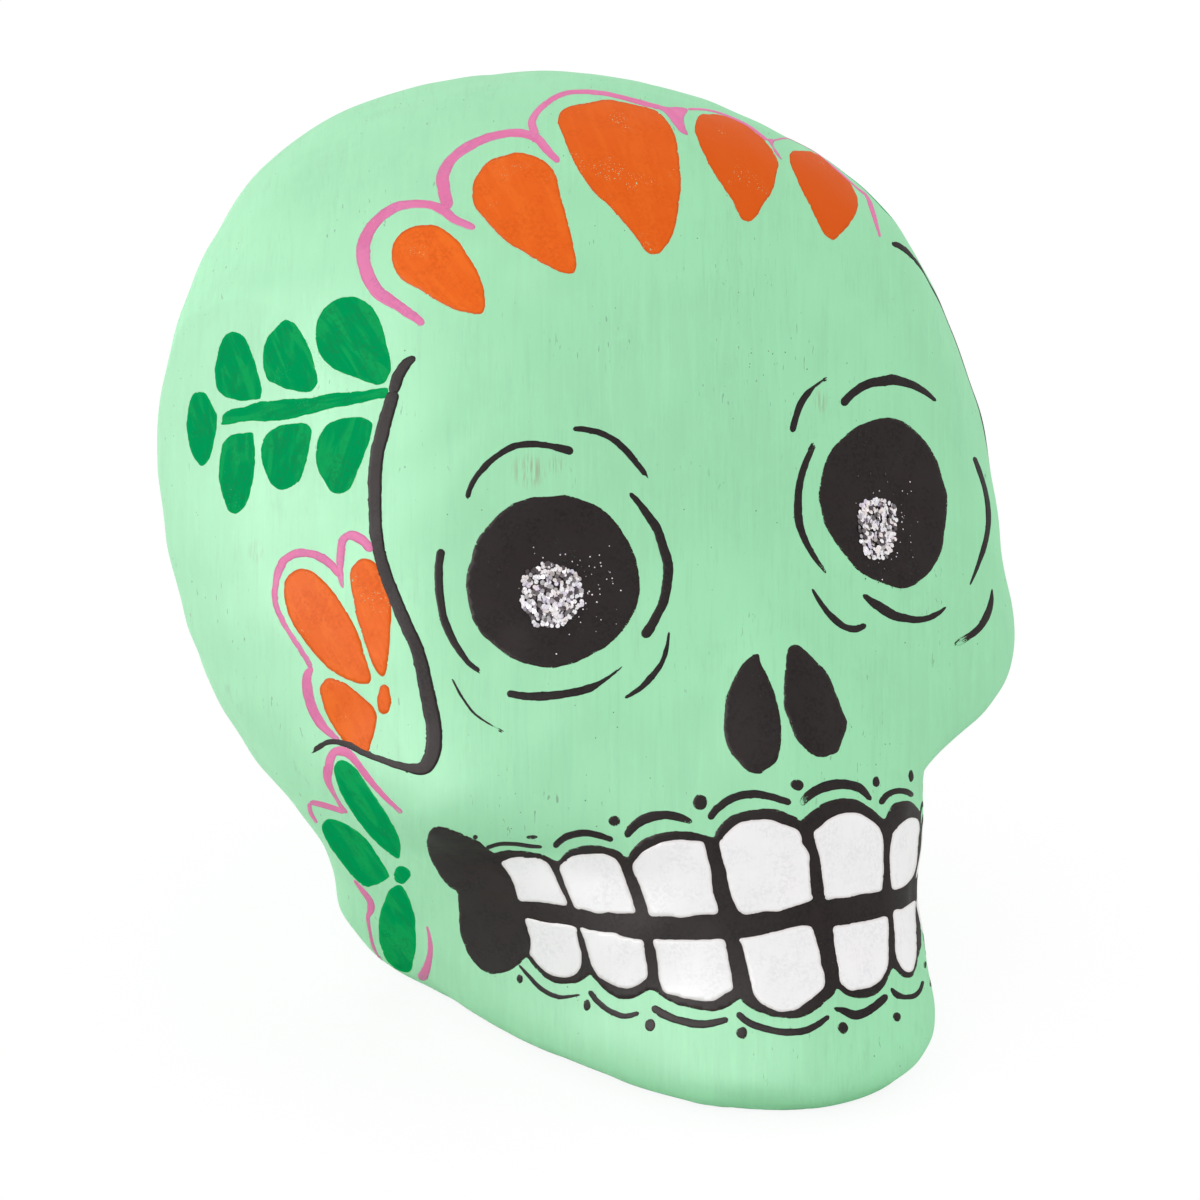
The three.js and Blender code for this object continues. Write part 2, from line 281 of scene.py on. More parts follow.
class Skin:
    """The moulded skin as a fine grid that lines of sight can land on."""

    def __init__(self, form):
        turns = np.arange(COLUMNS) * (2 * math.pi / COLUMNS)
        turns = turns - FRONT_CROWDING * np.sin(turns)
        levels = np.linspace(0, 1, OUTER_ROWS + 1)
        smooth = loft(levels, turns)
        outward = grid_normals(smooth)
        height = relief_height(smooth) + lump_height(smooth, form.lump_height)
        self.outer = self.settled(smooth + outward * height[..., None])
        self.outward = grid_normals(self.outer)
        inner_levels = np.linspace(0, 1, INNER_ROWS + 1)
        inner_smooth = loft(inner_levels, turns)
        inner_height = relief_height(inner_smooth) - form.wall
        self.inner = self.settled(inner_smooth + grid_normals(inner_smooth) * inner_height[..., None])
        self.inward = -grid_normals(self.inner)
        self.points = dome_points(self.outer)
        self.normals = dome_points(self.outward)
        self.faces = dome_faces(OUTER_ROWS)
        self.tree = BVHTree.FromPolygons(self.points.tolist(), self.faces)
        self.met = {}

    @staticmethod
    def settled(grid):
        """The grid in the part's frame, with its rim on the paper that closes the bottom."""
        grid[..., 1] -= MIDDLE_BEHIND_CHIN
        grid[..., 2] = np.maximum(grid[..., 2], REST_HEIGHT)
        return grid

    def landed(self, spot, index):
        """A spot on the skin with the smooth outward direction there."""
        corners = self.faces[index]
        weights = interpolate.poly_3d_calc([Vector(self.points[corner]) for corner in corners], spot)
        outward = Vector()
        for corner, weight in zip(corners, weights):
            outward += Vector(self.normals[corner]) * weight
        return spot, outward.normalized()

    def under_pixel(self, pixel):
        """Where the line of sight through a pixel of the photograph meets the skin."""
        known = (round(float(pixel[0]), 3), round(float(pixel[1]), 3))
        if known not in self.met:
            self.met[known] = self.met_by_sight(*known)
        return self.met[known]

    def met_by_sight(self, across, down):
        for _ in range(SIGHT_TRIES):
            sight = (
                CAMERA_RIGHT * ((across - FRAME_PIXELS / 2) / FOCAL_PIXELS)
                + CAMERA_UP * ((FRAME_PIXELS / 2 - down) / FOCAL_PIXELS)
                - CAMERA_BACK
            )
            spot, _normal, index, _distance = self.tree.ray_cast(CAMERA_EYE, sight.normalized())
            if spot is not None:
                return self.landed(spot, index)
            # The pixel is just off the outline, so it moves a little towards the middle.
            across += (SKULL_MIDDLE_PIXEL[0] - across) * SIGHT_STEP
            down += (SKULL_MIDDLE_PIXEL[1] - down) * SIGHT_STEP
        raise RuntimeError(f"no skin under pixel {across}, {down}")

    def across_from(self, spot, mirror):
        """The same place on the skull's other side."""
        middle, back, most, lower, squeeze = mirror
        behind = back
        if most > back:
            below = max(0, MIRROR_BROW - spot.z)
            behind += (most - back) * (1 - math.exp(-MIRROR_LEAN * below / (most - back)))
        down = lower + squeeze * (spot.z - MOUTH_BOTTOM)
        mirrored = Vector((2 * middle - spot.x, spot.y, spot.z - down))
        mirrored.rotate(Matrix.Rotation(behind / MIRROR_TURN, 3, "Z"))
        nearest, _normal, index, _distance = self.tree.find_nearest(mirrored)
        return self.landed(nearest, index)

    def place(self, pixel, mirror=None):
        """A pixel's place on the skin, or the place across from it where a mirror is given."""
        spot, outward = self.under_pixel(pixel)
        if mirror is None:
            return spot, outward
        return self.across_from(spot, mirror)


def dome_points(grid):
    """The points of a grid in rings, with its last ring as one point at the crown."""
    return np.vstack([grid[:-1].reshape(-1, 3), grid[-1:, 0]])


def dome_faces(rows):
    """Faces of a grid of points in rings from the rim up to one point at the crown."""
    faces = []
    crown = rows * COLUMNS
    for row in range(rows):
        for column in range(COLUMNS):
            here = row * COLUMNS + column
            beside = row * COLUMNS + (column + 1) % COLUMNS
            if row == rows - 1:
                faces.append((here, beside, crown))
            else:
                faces.append((here, beside, beside + COLUMNS, here + COLUMNS))
    return faces


def both_sides(mirror):
    """The seen side as it is, and the other side as its mirror image."""
    return (("right", None), ("left", mirror))


@functools.cache
def skin():
    """The skin, worked out once."""
    return Skin(bpy.context.scene.skull_form)


# Meshes


def new_object(name, mesh):
    """A new object, linked into the scene."""
    made = bpy.data.objects.new(name, mesh)
    bpy.context.scene.collection.objects.link(made)
    return made


def point_attribute(mesh, name, kind, values):
    """Stores one value or vector for each point of a mesh."""
    layer = mesh.attributes.new(name, kind, "POINT")
    field = "vector" if kind == "FLOAT_VECTOR" else "value"
    layer.data.foreach_set(field, np.asarray(values, dtype=np.float32).ravel())


def field_values(items, field, kind, width=1):
    """One field of all vertices, corners or faces of a mesh, with its numbers in one row."""
    values = np.empty(len(items) * width, dtype=kind)
    items.foreach_get(field, values)
    return values


def unit(vectors):
    """Each vector at length 1."""
    return vectors / np.maximum(np.linalg.norm(vectors, axis=1, keepdims=True), 1e-6)


def whole_shell():
    """Both halves as one closed shell, with the smooth direction kept at each point."""
    form = skin()
    start = len(form.points)
    faces = list(form.faces)
    faces += [tuple(start + corner for corner in reversed(face)) for face in dome_faces(INNER_ROWS)]
    moulded = len(faces)
    for column in range(COLUMNS):
        beside = (column + 1) % COLUMNS
        faces.append((beside, column, start + column, start + beside))
    mesh = bpy.data.meshes.new("whole_shell")
    mesh.from_pydata(np.vstack([form.points, dome_points(form.inner)]).tolist(), [], faces)
    normals = np.vstack([form.normals, dome_points(form.inward)])
    point_attribute(mesh, "moulded", "FLOAT_VECTOR", normals)
    layer = mesh.attributes.new("curved", "INT", "FACE")
    layer.data.foreach_set("value", [1] * moulded + [0] * (len(faces) - moulded))
    return mesh


def half_shell(whole, name, keep):
    """One half of the shell, cut at the seam. keep is -1 for the face and 1 for the rear."""
    cut = bmesh.new()
    cut.from_mesh(whole)
    seam = (0, SEAM_BEHIND_CHIN - MIDDLE_BEHIND_CHIN, 0)
    made = bmesh.ops.bisect_plane(
        cut,
        geom=cut.verts[:] + cut.edges[:] + cut.faces[:],
        dist=0.5e-6,
        plane_co=seam,
        plane_no=(0, -keep, 0),
        clear_outer=True,
    )
    edges = [part for part in made["geom_cut"] if isinstance(part, bmesh.types.BMEdge)]
    bmesh.ops.triangle_fill(cut, edges=edges, use_beauty=True, normal=(0, -keep, 0))
    bmesh.ops.recalc_face_normals(cut, faces=cut.faces[:])
    mesh = bpy.data.meshes.new(name)
    cut.to_mesh(mesh)
    cut.free()
    moulded = field_values(mesh.attributes["moulded"].data, "vector", np.float32, 3)
    curved = field_values(mesh.attributes["curved"].data, "value", np.int32)
    corners = field_values(mesh.loops, "vertex_index", np.int32)
    flat = field_values(mesh.polygons, "normal", np.float32, 3)
    sizes = field_values(mesh.polygons, "loop_total", np.int32)
    mesh.polygons.foreach_set("use_smooth", [True] * len(mesh.polygons))
    smooth = unit(moulded.reshape(-1, 3)[corners])
    by_face = np.repeat(flat.reshape(-1, 3), sizes, axis=0)
    normals = np.where(np.repeat(curved, sizes)[:, None] > 0, smooth, by_face)
    mesh.normals_split_custom_set(normals.tolist())
    return new_object(name, mesh)


# Brush marks


def flowing(points, spacing, closed):
    """Even steps along a smooth curve through the given points."""
    known = np.array(points, dtype=float)
    if closed:
        known = np.vstack([known[-1:], known, known[:2]])
    else:
        known = np.vstack([2 * known[0] - known[1], known, 2 * known[-1] - known[-2]])
    dense = []
    for a, b, c, d in zip(known, known[1:], known[2:], known[3:]):
        steps = max(3, math.ceil(np.linalg.norm((c - b)[:2]) / spacing * 4))
        share = np.linspace(0, 1, steps, endpoint=False)[:, None]
        dense.append(between(a, b, c, d, share))
    dense.append(known[-2:-1])
    curve = np.vstack(dense)
    run = np.concatenate([[0], np.cumsum(np.linalg.norm(np.diff(curve[:, :2], axis=0), axis=1))])
    count = max(4, round(run[-1] / spacing) + 1)
    stops = np.linspace(0, run[-1], count)
    steps = np.stack([np.interp(stops, run, column) for column in curve.T], axis=1)
    return steps[:-1] if closed else steps


# Wavelengths in pixels of the ripple along a brushed edge
EDGE_WAVES = (45, 27, 17, 11, 7.5, 5)
MIDDLE_WAVE = 17
# One bristle strays for each of these pixels
BRISTLE_GAP = 26


def wobble(length, spacing, size, chance):
    """Small in and out of a brushed edge, in pixels, for each step along it."""
    count = max(2, round(length / spacing))
    along = np.arange(count) / count
    height = np.zeros(count)
    for wave in EDGE_WAVES:
        turns = max(1, round(length / wave))
        share = chance.uniform(0.3, 1) * min(1.2, (wave / MIDDLE_WAVE) ** 0.8)
        height += np.sin(2 * math.pi * turns * along + chance.uniform(0, 2 * math.pi)) * share
    height *= size / 2.2
    # Single bristles stick out or fall short here and there.
    for _ in range(int(length / BRISTLE_GAP)):
        height[chance.integers(count)] += chance.uniform(-1.1, 1.9) * size
    return height


def sideways_of(forward):
    """Unit steps at a right angle to steps along a line in the picture."""
    return unit(np.stack([-forward[:, 1], forward[:, 0]], axis=1))


def inside(points, outline):
    """Which points lie inside a closed outline."""
    found = np.zeros(len(points), dtype=bool)
    for (x0, y0), (x1, y1) in zip(outline, np.roll(outline, -1, axis=0)):
        if y0 == y1:
            continue
        crosses = (points[:, 1] > min(y0, y1)) & (points[:, 1] <= max(y0, y1))
        found ^= crosses & (points[:, 0] < x0 + (points[:, 1] - y0) * (x1 - x0) / (y1 - y0))
    return found


def edge_distance(points, outline):
    """Distance in pixels from each point to an outline."""
    nearest = np.full(len(points), np.inf)
    for corner in outline:
        nearest = np.minimum(nearest, np.hypot(*(points - corner).T))
    return nearest


# How far each coat lies above the skin in millimetres, so that later ones cover earlier ones. The
# mouth's mirror image is dropped a little, so that it stays below the mouth where the two overlap.
PINK_LIFT = 0.006
BLACK_LIFT = 0.014
FAR_MOUTH_DROP = 0.006
TEETH_LIFT = 0.045


class Paint:
    """Gathers the films of one colour, and makes them one piece."""

    # Share of the full thickness at the edge of a film, and how deep its underside lies
    EDGE = 0.62
    ROOT = 0.06 * MM
    # Longest steps on the skin, along an edge and inside a shape, and the widest stroke
    STEP = 0.9 * MM
    LONGEST = 1.7 * MM
    WIDEST = 4.5 * MM
    MOST_STEPS = 8
    # Pixels from the edge at which a shape is full, and over which its cover grows
    FULL = 4.5
    COVERED = 12
    # Pixels between the points along a stroke, and how many points lie across it
    PACE = 1.8
    FEWEST_LANES = 5
    MOST_LANES = 13
    # Shares of a stroke over which its start and its end may run dry
    DRY_START = 0.35
    DRY_END = 0.45

    def __init__(self, seed, lift=0.0):
        self.chance = np.random.default_rng(seed)
        self.film = bpy.context.scene.skull_form.film
        self.lift = lift * MM
        self.points = []
        self.faces = []
        self.smooth = []
        self.grain = []
        self.cover = []
        self.depth = []

    def sheet(self, spots, fullness, faces, grain, cover, depth=0.0):
        """One closed film. fullness is each point's share of the film's thickness."""
        facing = 0
        for face in faces[:: max(1, len(faces) // 40)]:
            a, b, c = (spots[corner][0] for corner in face[:3])
            facing += (b - a).cross(c - a).dot(spots[face[0]][1])
        if facing < 0:
            faces = [tuple(reversed(face)) for face in faces]
        start = len(self.points)
        under = start + len(spots)
        for (spot, outward), share in zip(spots, fullness):
            self.points.append(spot + outward * (self.lift + self.film * share))
        for spot, outward in spots:
            self.points.append(spot - outward * self.ROOT)
        self.grain += list(grain) * 2
        self.cover += list(cover) * 2
        # depth is painted shade: the share by which the whole film is darkened towards its paint's dark
        # colour.
        self.depth += [depth] * len(spots) * 2
        ways = {(a, b) for face in faces for a, b in zip(face, face[1:] + face[:1])}
        for face in faces:
            self.faces.append(tuple(start + corner for corner in face))
            self.smooth.append(True)
        for face in faces:
            self.faces.append(tuple(under + corner for corner in reversed(face)))
            self.smooth.append(False)
        for a, b in sorted(ways):
            if (b, a) not in ways:
                self.faces.append((start + a, under + a, under + b, start + b))
                self.smooth.append(False)

    def closer(self, line, closed):
        """The steps of a line, with more of them where the skin turns away from the camera."""
        ends = np.roll(line, -1, axis=0) if closed else line[1:]
        finer = []
        for here, there in zip(line, ends):
            gap = skin().under_pixel(here[:2])[0] - skin().under_pixel(there[:2])[0]
            count = min(self.MOST_STEPS, max(1, math.ceil(gap.length / self.STEP)))
            finer += [here + (there - here) * step / count for step in range(count)]
        if not closed:
            finer.append(line[-1])
        return np.array(finer)

    def filled(self, edge, lattice):
        """Triangles over a closed outline, none of them long on the skin."""
        loop = list(range(len(edge)))
        rim = list(zip(loop, loop[1:] + loop[:1]))
        beside_rim = set(rim) | {(b, a) for a, b in rim}
        for _ in range(4):
            flat = [Vector(point) for point in np.vstack([edge, lattice])]
            flat, sides, faces, *_origins = geometry.delaunay_2d_cdt(flat, rim, [loop], 1, 1e-4)
            spots = [skin().under_pixel(pixel)[0] for pixel in flat]
            extra = []
            for a, b in sides:
                if (a, b) not in beside_rim and (spots[a] - spots[b]).length > self.LONGEST:
                    extra.append(tuple((flat[a] + flat[b]) / 2))
            if not extra:
                break
            lattice = np.vstack([lattice, extra])
        return np.array(flat), [tuple(face) for face in faces]

    # depth, handed on to the film, is painted shade.
    def blob(
        self, outline, mirror=None, grain_turn=90, rough=0.4, spacing=1.7, grid=4.2, grow=0.0, depth=0.0
    ):
        """A filled shape with a brushed edge, given by its outline in pixels."""
        edge = flowing(outline, spacing, True)
        sideways = sideways_of(np.roll(edge, -1, axis=0) - np.roll(edge, 1, axis=0))
        ripple = np.resize(wobble(len(edge) * spacing, spacing, rough, self.chance), len(edge))
        turned = np.roll(edge, -1, axis=0)
        area = (edge[:, 0] * turned[:, 1] - turned[:, 0] * edge[:, 1]).sum()
        edge = edge + sideways * (ripple - math.copysign(grow, area))[:, None]
        edge = self.closer(edge, True)
        low, high = edge.min(axis=0), edge.max(axis=0)
        across = np.arange(low[0] + grid / 2, high[0], grid)
        down = np.arange(low[1] + grid / 2, high[1], grid * 0.87)
        lattice = np.stack(np.meshgrid(across, down), axis=-1)
        lattice[1::2, :, 0] += grid / 2
        lattice = lattice.reshape(-1, 2)
        lattice = lattice[inside(lattice, edge)]
        lattice = lattice[edge_distance(lattice, edge) > grid * 0.42]
        pixels, faces = self.filled(edge, lattice)
        away = edge_distance(pixels, edge)
        share = np.clip(away / self.FULL, 0, 1)
        fullness = self.EDGE + (1 - self.EDGE) * share * (2 - share)
        turn = math.radians(grain_turn)
        seed = self.chance.uniform(0, 50)
        along = (pixels[:, 0] * math.cos(turn) + pixels[:, 1] * math.sin(turn)) / PIXELS_PER_MM
        beside = (pixels[:, 1] * math.cos(turn) - pixels[:, 0] * math.sin(turn)) / PIXELS_PER_MM
        grain = np.stack([along, beside, np.full(len(pixels), seed)], axis=1)
        cover = np.clip(0.5 + away / self.COVERED, 0, 1)
        spots = [skin().place(pixel, mirror) for pixel in pixels]
        self.sheet(spots, fullness, faces, grain, cover, depth)

    def stroke(self, path, widths, mirror=None, rough=0.35, start_dry=0.0, end_dry=0.0, blunt=0.12):
        """One pull of the brush along a path, with its width in pixels at each point."""
        if np.isscalar(widths):
            widths = [widths] * len(path)
        line = flowing([(*point, width) for point, width in zip(path, widths)], self.PACE, False)
        for _ in range(2):
            ripple = wobble(len(line) * self.PACE, self.PACE, rough, self.chance)
            line = np.column_stack([line, np.resize(ripple, len(line))])
        line = self.closer(line, False)
        steps = np.linalg.norm(np.diff(line[:, :2], axis=0), axis=1)
        run = np.concatenate([[0], np.cumsum(steps)])
        left = run[-1] - run
        sideways = sideways_of(np.gradient(line[:, :2], axis=0))
        half = np.maximum(line[:, 2], 1.0) / 2
        taper = np.ones(len(line))
        for distance in (run, left):
            round_end = np.clip(distance / np.maximum(half, 1.0), 0, 1)
            taper *= np.sqrt(np.maximum(1 - (1 - round_end) ** 2, blunt))
        ripples = line[:, 3:] * np.minimum(1, half / 2)[:, None]
        widest = 0
        for step in range(len(line)):
            brim = sideways[step] * half[step]
            brink = [skin().under_pixel(line[step, :2] + brim * way)[0] for way in (-1, 1)]
            wide = max((brink[0] - brink[1]).length, 1e-6)
            # The brush's own roughness doesn't grow where the skin turns away from the camera.
            ripples[step] *= min(1, 2 * half[step] / PIXELS_PER_MM * MM / wide)
            half[step] *= min(1, self.WIDEST / wide)
            widest = max(widest, min(wide, self.WIDEST))
        lanes = min(self.MOST_LANES, max(self.FEWEST_LANES, math.ceil(widest / self.STEP) + 1))
        shares = np.linspace(-1, 1, lanes)
        profile = self.EDGE + (1 - self.EDGE) * (1 - shares**4)
        seed = self.chance.uniform(0, 50)
        dry_start = start_dry * np.clip(1 - run / max(run[-1] * self.DRY_START, 1), 0, 1)
        dry_end = end_dry * np.clip(1 - left / max(run[-1] * self.DRY_END, 1), 0, 1)
        spots, fullness, grain, cover = [], [], [], []
        for step in range(len(line)):
            for share, thickness in zip(shares, profile):
                reach = (half[step] + ripples[step, int(share > 0)]) * taper[step]
                pixel = line[step, :2] + sideways[step] * share * reach
                spots.append(skin().place(pixel, mirror))
                fullness.append(thickness)
                grain.append((run[step] / PIXELS_PER_MM, share * half[step] / PIXELS_PER_MM, seed))
                cover.append(1 - dry_start[step] - dry_end[step])
        faces = []
        for step in range(len(line) - 1):
            for lane in range(lanes - 1):
                here = step * lanes + lane
                faces.append((here, here + 1, here + 1 + lanes, here + lanes))
        self.sheet(spots, fullness, faces, grain, cover)

    def bristles(self, tip, towards, width, count, reach, mirror=None):
        """Thin trails that single bristles leave past the end of a stroke."""
        forward = np.array(towards, dtype=float) - tip
        forward /= np.linalg.norm(forward)
        sideways = np.array([-forward[1], forward[0]])
        for _ in range(count):
            beside = self.chance.uniform(-0.45, 0.45) * width
            start = np.array(tip) - forward * self.chance.uniform(1, 4) + sideways * beside
            length = reach * self.chance.uniform(0.35, 1)
            drift = sideways * self.chance.uniform(-0.6, 0.6)
            path = [start + (forward * share * length + drift * share) for share in (0, 0.33, 0.66, 1)]
            self.stroke(path, [1.6, 1.5, 1.2, 0.8], mirror, rough=0.15)

    def dot(self, centre, width, height, mirror=None):
        """A dab of the brush tip."""
        turns = np.arange(10) * (2 * math.pi / 10)
        size = 1 + self.chance.uniform(-0.08, 0.08, 10)
        outline = [
            (centre[0] + math.cos(turn) * width / 2 * scale, centre[1] + math.sin(turn) * height / 2 * scale)
            for turn, scale in zip(turns, size)
        ]
        self.blob(outline, mirror, rough=0.2, spacing=1.4, grid=2.6)

    def piece(self, name, slot, material):
        """The gathered films as one object."""
        mesh = bpy.data.meshes.new(name)
        mesh.from_pydata(self.points, [], self.faces)
        mesh.polygons.foreach_set("use_smooth", self.smooth)
        point_attribute(mesh, "grain", "FLOAT_VECTOR", self.grain)
        point_attribute(mesh, "cover", "FLOAT", self.cover)
        point_attribute(mesh, "depth", "FLOAT", self.depth)
        mesh.materials.append(material)
        return dressed(new_object(name, mesh), slot)


def dressed(piece, slot, *stands_for):
    """Hangs a piece on the body that it rides on, and hides the solids that it stands for. Its slot is not
    used.
    """
    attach(piece, BODY)
    if stands_for:
        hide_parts(*stands_for)
    return piece


# Finishes


class Value:
    """A shader socket that takes part in plain sums."""

    def __init__(self, finish, socket):
        self.finish = finish
        self.socket = socket

    def sum(self, operation, first, second):
        return self.finish.add("ShaderNodeMath", {"operation": operation}, {0: first, 1: second})

    def __add__(self, other):
        return self.sum("ADD", self, other)

    def __radd__(self, other):
        return self.sum("ADD", other, self)

    def __sub__(self, other):
        return self.sum("SUBTRACT", self, other)

    def __rsub__(self, other):
        return self.sum("SUBTRACT", other, self)

    def __mul__(self, other):
        return self.sum("MULTIPLY", self, other)

    def __rmul__(self, other):
        return self.sum("MULTIPLY", other, self)


class Finish:
    """A procedural material while it is being made."""

    def __init__(self, name, owner=None):
        self.material = owner or bpy.data.materials.new(name)
        self.material.use_nodes = True
        self.nodes = self.material.node_tree.nodes
        self.links = self.material.node_tree.links
        self.nodes.clear()

    def add(self, kind, settings=None, sockets=None, output=0):
        """A node of one type, with its settings first and then its sockets."""
        node = self.nodes.new(kind)
        for name, setting in (settings or {}).items():
            setattr(node, name, setting)
        for key, value in (sockets or {}).items():
            if isinstance(value, Value):
                self.links.new(value.socket, node.inputs[key])
            else:
                node.inputs[key].default_value = value
        return Value(self, node.outputs[output]) if node.outputs else None

    def places(self):
        return self.add("ShaderNodeTexCoord", output="Object")

    def stored(self, name, output):
        """What the mesh stores at each point under a name."""
        return self.add("ShaderNodeAttribute", {"attribute_name": name}, output=output)

    def scaled(self, vector, factors):
        return self.add("ShaderNodeVectorMath", {"operation": "MULTIPLY"}, {0: vector, 1: factors})

    def noise(self, vector, scale, detail=2.0, roughness=0.5, distortion=0.0):
        sockets = {"Vector": vector, "Scale": scale, "Detail": detail, "Roughness": roughness}
        sockets["Distortion"] = distortion
        return self.add("ShaderNodeTexNoise", {}, sockets, "Fac")

    def ramp(self, value, low, high):
        """0 below low, 1 above high and smooth between, or falling where low is above high."""
        settings = {"interpolation_type": "SMOOTHSTEP"}
        if low < high:
            sockets = {"Value": value, "From Min": low, "From Max": high}
            return self.add("ShaderNodeMapRange", settings, sockets)
        sockets = {"Value": value, "From Min": high, "From Max": low, "To Min": 1.0, "To Max": 0.0}
        return self.add("ShaderNodeMapRange", settings, sockets)

    def mix(self, share, first, second):
        """Colour that goes from the first to the second as the share goes from 0 to 1."""
        colours = []
        for colour in (first, second):
            colours.append(colour if isinstance(colour, Value) else (*colour, 1))
        settings = {"data_type": "RGBA", "clamp_factor": True}
        return self.add("ShaderNodeMix", settings, {0: share, 6: colours[0], 7: colours[1]}, 2)

    def bump(self, height, strength, distance):
        sockets = {"Height": height, "Strength": strength, "Distance": distance}
        return self.add("ShaderNodeBump", {}, sockets)

    def surface(self, **sockets):
        """Ends the material with its shader."""
        named = {name.replace("_", " "): value for name, value in sockets.items()}
        shader = self.add("ShaderNodeBsdfPrincipled", {}, named)
        self.add("ShaderNodeOutputMaterial", {}, {"Surface": shader})
        return self.material


def shade(colour, factor):
    """A colour made darker or lighter."""
    return tuple(min(1.0, part * factor) for part in colour)


# Brownish smears where the paint was rubbed: pixel, width in millimetres and strength
STAINS = (((529, 470), 7, 0.5), ((820, 402), 5, 0.3), ((556, 464), 4, 0.3), ((257, 552), 5, 0.18))


def mint_finish(name="mint_paint"):
    """Matte mint craft paint, brushed over layered paper."""
    mint = tuple(bpy.context.scene.skull_paints.mint)
    make = Finish(name)
    place = make.places()
    # Strokes run up and down over the forehead and face.
    settings = {"rotation_type": "Z_AXIS"}
    faced = make.add("ShaderNodeVectorRotate", settings, {"Vector": place, "Angle": CAMERA_TURN})
    upright = make.scaled(faced, (1.0, 0.07, 0.07))
    streaks = make.noise(upright, 560, 3, 0.6, 0.4)
    hairs = make.noise(upright, 2100, 2, 0.55, 0.2)
    cloud = make.noise(place, 17, 3, 0.55)
    patch = make.noise(place, 60, 4, 0.6)
    mottle = make.noise(place, 190, 3, 0.6)
    colour = make.mix(make.ramp(cloud, 0.35, 0.68), shade(mint, 0.965), shade(mint, 1.03))
    colour = make.mix(make.ramp(patch, 0.5, 0.72) * 0.35, colour, shade(mint, 0.9))
    colour = make.mix(make.ramp(mottle, 0.52, 0.74) * 0.25, colour, shade(mint, 1.07))
    colour = make.mix(make.ramp(streaks, 0.5, 0.72) * 0.35, colour, shade(mint, 1.07))
    colour = make.mix(make.ramp(streaks, 0.48, 0.3) * 0.35, colour, shade(mint, 0.9))
    combed = make.ramp(patch, 0.4, 0.6)
    colour = make.mix(make.ramp(hairs, 0.56, 0.68) * combed * 0.2, colour, shade(mint, 0.78))
    colour = make.mix(make.ramp(hairs, 0.43, 0.33) * combed * 0.16, colour, shade(mint, 1.12))
    # Rubbed grey patches, short scratches and specks
    rubbed = make.ramp(make.noise(place, 34, 4, 0.62), 0.65, 0.76) * make.ramp(hairs, 0.48, 0.62)
    colour = make.mix(rubbed * 0.28, colour, srgb(120, 150, 130))
    scratch = make.noise(make.scaled(faced, (1.0, 0.2, 0.2)), 1500, 1, 0.5, 0.6)
    scratched = make.ramp(scratch, 0.71, 0.76) * make.ramp(make.noise(place, 40, 2), 0.52, 0.62)
    colour = make.mix(scratched * 0.5, colour, srgb(84, 100, 86))
    for pixel, width, strength in STAINS:
        spot = skin().under_pixel(pixel)[0]
        away = make.add("ShaderNodeVectorMath", {"operation": "DISTANCE"}, {0: place, 1: spot}, "Value")
        smear = make.ramp(away + patch * (0.5 * width * MM), width * MM, width * 0.45 * MM)
        colour = make.mix(smear * make.ramp(hairs, 0.44, 0.56) * strength, colour, srgb(150, 112, 92))
    crumbs = make.add("ShaderNodeTexVoronoi", {}, {"Vector": place, "Scale": 360.0}, "Distance")
    gathered = make.ramp(make.noise(place, 26, 2), 0.46, 0.58)
    speck = make.ramp(crumbs, 0.08, 0.055) * make.ramp(make.noise(place, 420, 0), 0.5, 0.53) * gathered
    colour = make.mix(speck * 0.75, colour, srgb(60, 66, 54))
    rough = 0.68 + patch * 0.14 - rubbed * 0.1
    fibre = make.noise(place, 900, 4, 0.65)
    height = streaks * 0.4 + fibre * 0.25 + mottle * 0.4
    normal = make.bump(height, 0.3, 0.15 * MM)
    return make.surface(Base_Color=colour, Roughness=rough, Specular_IOR_Level=0.6, Normal=normal)


# Light, dark and rim colours, then how flecked, how dry, how rough and how shiny a paint is
COATS = {
    "orange": ((253, 119, 38), (232, 95, 22), (222, 87, 22), 0.85, 0.3, 0.55, 0.05),
    "green": ((28, 178, 96), (26, 144, 84), (10, 176, 94), 0.25, 0.3, 0.6, 0.0),
    "pink": ((241, 138, 186), (216, 120, 172), (220, 130, 178), 0.4, 0.85, 0.55, 0.08),
    "black": ((47, 40, 38), (33, 28, 30), (50, 40, 37), 0.06, 0.9, 0.6, 0.1),
    "white": ((254, 252, 253), (238, 236, 239), (232, 222, 220), 0.0, 0.1, 0.5, 0.24),
}


